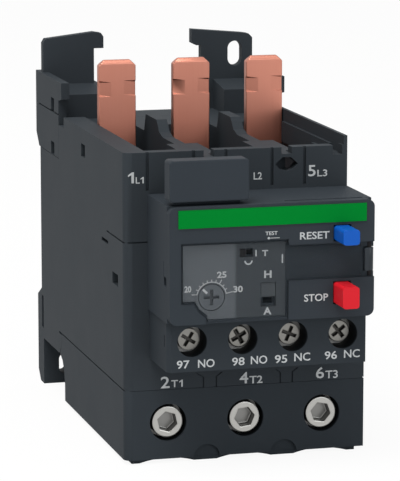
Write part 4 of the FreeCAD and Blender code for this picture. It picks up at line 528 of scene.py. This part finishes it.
def drawn_copper():
    """Copper with streaks along the bar, painted shade low down, and warmer in cloudy patches."""
    material, tree, shader = bare_material("drawn_copper")
    shader.inputs["Metallic"].default_value = 1.0
    streaks = add(tree, "TexNoise", Vector=stretched(tree, (2600.0, 2600.0, 60.0)), Scale=1.0, Detail=3.0)
    clouds = add(tree, "TexNoise", Vector=stretched(tree, (160.0, 160.0, 110.0)), Scale=1.0, Detail=3.0)
    # Painted shade: the copper darkens and warms towards the bottom of the bars.
    height = add(tree, "MapRange", Value=along(tree, "Z"), From_Min=SHADED_BELOW, From_Max=UNSHADED_ABOVE)
    uneven = reckon(tree, "MULTIPLY_ADD", clouds.outputs["Fac"], 0.5, height.outputs["Result"])
    bright = reckon(tree, "SUBTRACT", uneven, 0.25)
    bright.node.use_clamp = True
    tree.links.new(between(tree, bright, COPPER_SHADED_WARM, COPPER_BRIGHT), shader.inputs["Base Color"])
    satin(tree, shader, streaks.outputs["Fac"], 0.34, 0.52, 0.2)
    return material


copper = drawn_copper()
for pole in (1, 2, 3):
    edged(f"line_bar_{pole}", copper, BAR_EDGE)
    dress(f"load_bar_{pole}", copper)

# ---------------------------------------------------------------- screws and clamp steel
# Plated steel, satin where it was tumbled. The screw heads are turned, with fine rings on their
# faces, and their drive recesses are darkened with painted shade.
ZINC = (0.40, 0.40, 0.39)
TARNISH = 0.82
LOAD_HEAD = (0.40, 0.395, 0.375)
LOAD_SOCKET_PAINTED_SHADE = (0.20, 0.198, 0.19)
LOAD_RECESS = 2.6
LOAD_SCREW_EDGE = 0.25 * MM
# The control screw heads are a darker metal, partly for their burnished finish and partly as painted shade
# of their deep holes.
CONTROL_HEAD = (0.21, 0.205, 0.19)
CONTROL_CROSS_PAINTED_SHADE = (0.050, 0.048, 0.045)
CONTROL_RECESS = 2.2
CONTROL_SCREW_EDGE = 0.3 * MM


def plated_steel(name, colour, roughness, streak):
    """Steel with a thin plating, rubbed in one direction where the streak is long."""
    material, tree, shader = bare_material(name)
    shader.inputs["Metallic"].default_value = 1.0
    fine = add(tree, "TexNoise", Vector=stretched(tree, streak), Scale=1.0, Detail=3.0)
    spots = add(tree, "TexNoise", Vector=stretched(tree, (700.0, 700.0, 700.0)), Scale=1.0, Detail=2.0)
    worn = [channel * TARNISH for channel in colour]
    tree.links.new(between(tree, spots.outputs["Fac"], worn, colour), shader.inputs["Base Color"])
    satin(tree, shader, fine.outputs["Fac"], roughness - 0.08, roughness + 0.08, 0.15)
    return material


def turned_steel(name, head, recess_painted_shade, roughness, screw, next_screw, recess):
    """A screw's finish: turned rings on the head, and painted shade in the drive recess."""
    material, tree, shader = bare_material(name)
    shader.inputs["Metallic"].default_value = 1.0
    lathe = screw_row(tree, screw, next_screw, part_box(screw)[0].y, recess)
    tree.links.new(between(tree, lathe.outputs["Hollow"], head, recess_painted_shade), shader.inputs["Base Color"])
    satin(tree, shader, lathe.outputs["Rings"], roughness - 0.1, roughness + 0.1, 0.25)
    return material


zinc_steel = plated_steel("zinc_steel", ZINC, 0.38, (900.0, 900.0, 900.0))
load_screw_steel = turned_steel(
    "load_screw_steel", LOAD_HEAD, LOAD_SOCKET_PAINTED_SHADE, 0.34, "clamp_screw_1", "clamp_screw_2", LOAD_RECESS,
)
control_screw_steel = turned_steel(
    "control_screw_steel", CONTROL_HEAD, CONTROL_CROSS_PAINTED_SHADE, 0.36, "aux_screw_1", "aux_screw_2", CONTROL_RECESS,
)
# Each screw is left where the screwdriver stopped, so no two stand at the same angle.
for pole, turn in ((1, 0.30), (2, -0.12), (3, 0.18)):
    dress(f"clamp_cage_{pole}", zinc_steel)
    dress(f"clamp_jaw_{pole}", zinc_steel)
    node = f"clamp_screw_{pole}"
    screw = edged(node, load_screw_steel, LOAD_SCREW_EDGE, node, turn=turn)
for terminal, turn in ((1, 0.55), (2, -0.5), (3, 0.4), (4, -0.65)):
    dress(f"aux_clamp_plate_{terminal}", zinc_steel)
    node = f"aux_screw_{terminal}"
    screw = edged(node, control_screw_steel, CONTROL_SCREW_EDGE, node, turn=turn)
dress("lever_pin", zinc_steel)

bimetal_steel = plated_steel("bimetal_steel", (0.52, 0.50, 0.46), 0.42, (2400.0, 2400.0, 80.0))
heater_alloy = plated_steel("heater_alloy", (0.36, 0.32, 0.28), 0.5, (1800.0, 1800.0, 1800.0))
contact_brass = plated_steel("contact_brass", (0.72, 0.52, 0.24), 0.35, (2400.0, 2400.0, 120.0))
spring_steel = plated_steel("spring_steel", (0.5, 0.5, 0.5), 0.3, (1200.0, 1200.0, 1200.0))
for pole in (1, 2, 3):
    dress(f"bimetal_strip_{pole}", bimetal_steel)
    dress(f"heater_coil_{pole}", heater_alloy)
dress("compensation_strip", bimetal_steel)
for node in ("make_contact_97", "make_contact_98", "break_contact_95", "break_contact_96"):
    dress(node, contact_brass)


def coiled(node):
    """A smooth-shaded copy of a packed spring, which stays on the root body."""
    wire = merged(node)
    for face in wire.faces:
        face.smooth = True
    mesh = bpy.data.meshes.new(node + "_coil")
    wire.to_mesh(mesh)
    wire.free()
    mesh.materials.clear()
    mesh.materials.append(spring_steel)
    piece = bpy.data.objects.new(node + "_coil", mesh)
    bpy.context.collection.objects.link(piece)
    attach(piece, "root")
    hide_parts(node)
    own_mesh(piece)


coiled("reset_spring")
coiled("stop_spring")

# ---------------------------------------------------------------- tripping gear
# The slides, the lever, the contact bridge and the cam are moulded in natural nylon, which slides
# without grease. The two slides run in openings of the housing.
NATURAL_NYLON = (0.62, 0.60, 0.52)
slide_plastic = moulded_plastic("slide_plastic", NATURAL_NYLON, roughness=0.4, gloss=0.5, contrast=0.08)
for node in ("trip_slide", "phase_loss_slide", "trip_lever", "contact_bridge", "setting_cam"):
    dress(node, slide_plastic)

# ---------------------------------------------------------------- control module
# The case and its bezel are moulded in a slightly bluer grey than the housing, and the marks of the
# buttons are printed on the bezel.
MODULE_COLOUR = (0.0275, 0.034, 0.041)
CASE_LEFT = -23.0
ARROW_HEAD = 0.26
ARROW_LEFT = -0.45
ARROW_RIGHT = 1.95
ARROW_LEVEL = 52.95
ARROW_HALF = 0.06
module_plastic = moulded_plastic("module_plastic", MODULE_COLOUR)
case_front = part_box("control_case")[0].y / MM
case_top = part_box("control_case")[1].z / MM
top_groove = ((4.0, 21.4), (case_front - 0.2, case_front + 1.1), (case_top - 1.0, case_top + 0.2))
side_notch = ((CASE_LEFT, -21.5), (case_front + 0.6, case_front + 2.6), (42.8, 44.8))
side_slit = ((CASE_LEFT, -21.8), (case_front + 2.6, case_front + 3.0), (44.8, 48.0))
case_cuts = (top_groove, side_notch, side_slit)
edged("control_case", module_plastic, HOUSING_EDGE, cuts=case_cuts)
edged("front_bezel", module_plastic, HOUSING_EDGE)

BEZEL_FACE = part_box("front_bezel")[0].y
for name, words, left, right, low, top in (
    ("mark_reset", "RESET", 6.5, 13.1, 52.3, 53.9),
    ("mark_stop", "STOP", 7.5, 12.9, 38.7, 40.3),
    ("mark_test", "TEST", -1.2, 1.5, 53.6, 54.4),
):
    printed(name, words, left, right, low, top, BEZEL_FACE)


def flat_piece(name, drawing, face, body="root"):
    """A drawing in X and Z, pressed to the thickness of ink against a plane that faces the front."""
    mesh = bpy.data.meshes.new(name)
    bmesh.ops.recalc_face_normals(drawing, faces=drawing.faces)
    drawing.to_mesh(mesh)
    drawing.free()
    mesh.transform(Matrix.Translation((0.0, face - INK_THICK * MM / 2, 0.0)))
    shown(name, mesh, ink, body)


def stroke(drawing, left, right, low, top, tilt=0.0, pivot=(0.0, 0.0)):
    """A straight stroke of ink, in millimetres, turned about the pivot."""
    size = Matrix.Diagonal(((right - left) * MM, INK_THICK * MM, (top - low) * MM, 1.0))
    centre = Matrix.Translation(((left + right) / 2 * MM, 0.0, (low + top) / 2 * MM))
    hub = Matrix.Translation((pivot[0] * MM, 0.0, pivot[1] * MM))
    turn = hub @ Matrix.Rotation(tilt, 4, "Y") @ hub.inverted()
    bmesh.ops.create_cube(drawing, size=1.0, matrix=turn @ centre @ size)


test_sign = bmesh.new()
lying = Matrix.Rotation(math.pi / 2, 4, "X")
bmesh.ops.create_cone(
    test_sign, cap_ends=True, segments=20, depth=INK_THICK * MM,
    radius1=ARROW_HEAD * MM, radius2=ARROW_HEAD * MM,
    matrix=Matrix.Translation((ARROW_LEFT * MM, 0.0, ARROW_LEVEL * MM)) @ lying,
)
stroke(test_sign, ARROW_LEFT, ARROW_RIGHT, ARROW_LEVEL - ARROW_HALF, ARROW_LEVEL + ARROW_HALF)
flat_piece("mark_test_arrow", test_sign, BEZEL_FACE)

# ---------------------------------------------------------------- marker plate
# A thick blank plate on top of the module, where the installer sticks a label. It is a moulding of
# the module's plastic, with a smoother face.
MARKER_COLOUR = (0.0275, 0.034, 0.0415)
MARKER_EDGE = 0.3 * MM
marker_plastic = moulded_plastic("marker_plastic", MARKER_COLOUR, roughness=0.56)
edged("marker_plate", marker_plastic, MARKER_EDGE)

# ---------------------------------------------------------------- green band
# A strip across the top of the bezel, painted a matt green over the moulding. It is left without any
# name.
BAND_GREEN = (0.0002, 0.172, 0.021)
green_band = moulded_plastic("green_band", BAND_GREEN, roughness=0.6, gloss=0.02, contrast=0.05)
dress("accent_band", green_band)

# ---------------------------------------------------------------- setting plate
# A satin label plate, light grey round the current scale and darker under the selector. The scale,
# its numbers and the selector's letters are printed on it.
LIGHT_PLATE = (0.106, 0.118, 0.130)
DARK_PLATE = (0.051, 0.059, 0.066)
PLATE_BREAK = -8.0
PLATE_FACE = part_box("setting_plate")[0].y
DIAL = (middle("adjustment_dial", 0) / MM, middle("adjustment_dial", 2) / MM)
SCALE_INNER = 3.22
SCALE_OUTER = 3.40
TICK_OUTER = 3.85
TICK_HALF = 0.08
LONG_TICK_OUTER = 4.35
LONG_TICK = 3
SCALE_START = math.radians(12.0)
SCALE_SWEEP = math.radians(156.0)
TICKS = 10
NUMBER_WEIGHT = 0.03
LEAD_TILT = math.radians(-12.0)

plate_grey = moulded_plastic("plate_grey", LIGHT_PLATE, contrast=0.05)
plate_tree = plate_grey.node_tree
change = add(
    plate_tree, "MapRange", Value=along(plate_tree, "X"),
    From_Min=PLATE_BREAK * MM, From_Max=(PLATE_BREAK + 0.8) * MM,
)
toned_or_painted_shade(plate_grey, change.outputs["Result"], [dark / pale for dark, pale in zip(DARK_PLATE, LIGHT_PLATE)])
dress("setting_plate", plate_grey)


def arc(drawing, centre, inner, outer, start, sweep):
    """A curved stroke of ink about a centre, in millimetres; angles go round from the right."""
    middle_x = centre[0] + (inner + outer) / 2
    size = Matrix.Diagonal(((outer - inner) * MM, INK_THICK * MM, 1.0, 1.0))
    hub = Vector((centre[0] * MM, 0.0, centre[1] * MM))
    quarter = Matrix.Rotation(math.pi / 2, 4, "Z")
    about_hub = Matrix.Rotation(-start, 3, "Y")
    end = bmesh.ops.create_grid(drawing, x_segments=1, y_segments=1, size=0.5, matrix=quarter)
    bmesh.ops.transform(drawing, verts=end["verts"], matrix=size)
    bmesh.ops.translate(drawing, verts=end["verts"], vec=(middle_x * MM, 0.0, centre[1] * MM))
    bmesh.ops.rotate(drawing, verts=end["verts"], cent=hub, matrix=about_hub)
    faces = list({face for vertex in end["verts"] for face in vertex.link_faces})
    steps = max(4, int(sweep / 0.12))
    bmesh.ops.spin(drawing, geom=faces, cent=hub, axis=(0.0, -1.0, 0.0), angle=sweep, steps=steps)


scale = bmesh.new()
arc(scale, DIAL, SCALE_INNER, SCALE_OUTER, SCALE_START, SCALE_SWEEP)
for tick in range(TICKS + 1):
    angle = SCALE_START + SCALE_SWEEP * tick / TICKS
    left, right = DIAL[0] + SCALE_INNER, DIAL[0] + (LONG_TICK_OUTER if tick == LONG_TICK else TICK_OUTER)
    stroke(scale, left, right, DIAL[1] - TICK_HALF, DIAL[1] + TICK_HALF, -angle, DIAL)
flat_piece("dial_scale", scale, PLATE_FACE)
for name, words, left, right, low, top in (
    ("scale_low", "20", -18.9, -17.4, 41.9, 43.3),
    ("scale_middle", "25", -11.7, -9.6, 44.7, 46.1),
    ("scale_high", "30", -8.1, -6.0, 41.4, 42.8),
    ("mark_T", "T", -1.7, -0.4, 49.0, 50.3),
    ("mark_H", "H", -1.25, 0.4, 44.2, 45.8),
    ("mark_A", "A", -1.4, 0.4, 36.2, 37.8),
):
    printed(name, words, left, right, low, top, PLATE_FACE, NUMBER_WEIGHT)

# Strokes that lead from the scale to its end numbers, two position bars and a half ring.
leads = bmesh.new()
stroke(leads, -17.3, -16.2, 41.25, 41.42)
stroke(leads, -9.6, -8.2, 41.25, 41.42, LEAD_TILT, (-9.6, 41.3))
stroke(leads, -3.2, -2.95, 49.0, 50.4)
stroke(leads, 2.65, 2.95, 47.3, 49.2)
arc(leads, (-4.75, 48.15), 0.6, 0.92, math.pi, math.pi)
flat_piece("plate_marks", leads, PLATE_FACE)

# ---------------------------------------------------------------- dial, selector and test slide
# The dial turns under the cover with a screwdriver in its cross, and a white line points to the
# current. The selector slides between H and A, and the test slide moves a black catch.
SELECTOR_COLOUR = (0.066, 0.074, 0.081)
CROSS_PAINTED_SHADE = (0.6, 0.6, 0.6)
POINTER_NEAR = 1.35
POINTER_FAR = 2.6
POINTER_HALF = 0.25
POINTER_TURN = math.radians(-137.0)
DIAL_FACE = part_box("adjustment_dial")[0].y

dial_grey = moulded_plastic("dial_grey", LIGHT_PLATE, contrast=0.05)
dial_tree = dial_grey.node_tree
# Painted shade: the dial's cross recess is darkened by its depth behind the face.
cross = add(
    dial_tree, "MapRange", Value=along(dial_tree, "Y"),
    From_Min=DIAL_FACE + 0.1 * MM, From_Max=DIAL_FACE + 0.4 * MM,
)
toned_or_painted_shade(dial_grey, cross.outputs["Result"], CROSS_PAINTED_SHADE)
dress("adjustment_dial", dial_grey)
pointer = bmesh.new()
stroke(
    pointer, DIAL[0] + POINTER_NEAR, DIAL[0] + POINTER_FAR,
    DIAL[1] - POINTER_HALF, DIAL[1] + POINTER_HALF, POINTER_TURN, DIAL,
)
flat_piece("dial_pointer", pointer, DIAL_FACE, "setting_dial")
dress("mode_selector", moulded_plastic("selector_grey", SELECTOR_COLOUR, contrast=0.06))
dress("test_slide", inner_plastic)

# ---------------------------------------------------------------- buttons
# Square caps of coloured plastic with well rounded edges: blue to reset, red to stop. Each is a
# moulding of its own, held out by the spring behind it.
RESET_BLUE = (0.004, 0.080, 0.400)
STOP_RED = (0.560, 0.011, 0.020)
CAP_EDGE = 0.7 * MM
reset_blue = moulded_plastic("reset_blue", RESET_BLUE, roughness=0.4, gloss=0.12, relief=0.05, contrast=0.05)
stop_red = moulded_plastic("stop_red", STOP_RED, roughness=0.4, gloss=0.12, relief=0.05, contrast=0.05)
edged("reset_button", reset_blue, CAP_EDGE, "reset_button")
edged("stop_button", stop_red, CAP_EDGE, "stop_button")

# ---------------------------------------------------------------- window cover
# A clear, faintly smoky flap of polycarbonate, denser at its edges and opaque at its knuckle. It
# swings on a black moulded pin at the right edge of the module.
COVER_SMOKE = (0.022, 0.028, 0.034, 1.0)
COVER_CLOUD = 140.0
COVER_EDGE = 0.12 * MM
THINNEST_VEIL = 0.07
THICKEST_VEIL = 0.13
EDGE_VEIL = 0.30
KNUCKLE_LEFT = 21.1 * MM

clear, cover_tree, shader = bare_material("clear_cover")
shader.inputs["Base Color"].default_value = COVER_SMOKE
shader.inputs["Specular IOR Level"].default_value = 0.2
surface = cover_tree.nodes.new("ShaderNodeGroup")
surface.node_tree = grain
surface.inputs["Cloud"].default_value = COVER_CLOUD
veil = add(
    cover_tree, "MapRange", Value=surface.outputs["Sheen"], To_Min=THINNEST_VEIL, To_Max=THICKEST_VEIL,
)
facing = reckon(cover_tree, "ABSOLUTE", along(cover_tree, "Y", "Normal"))
side_on = add(cover_tree, "MapRange", Value=facing, From_Min=0.9, From_Max=0.4, To_Max=EDGE_VEIL)
knuckle = add(
    cover_tree, "MapRange", Value=along(cover_tree, "X"),
    From_Min=KNUCKLE_LEFT - 0.2 * MM, From_Max=KNUCKLE_LEFT,
)
density = reckon(cover_tree, "ADD", veil.outputs["Result"], side_on.outputs["Result"])
density = reckon(cover_tree, "MAXIMUM", density, knuckle.outputs["Result"])
cover_tree.links.new(density, shader.inputs["Alpha"])
polish = add(cover_tree, "MapRange", Value=surface.outputs["Sheen"], To_Min=0.12, To_Max=0.24)
cover_tree.links.new(polish.outputs["Result"], shader.inputs["Roughness"])
edged("window_cover", clear, COVER_EDGE, "window_cover")
dress("cover_pin", inner_plastic)
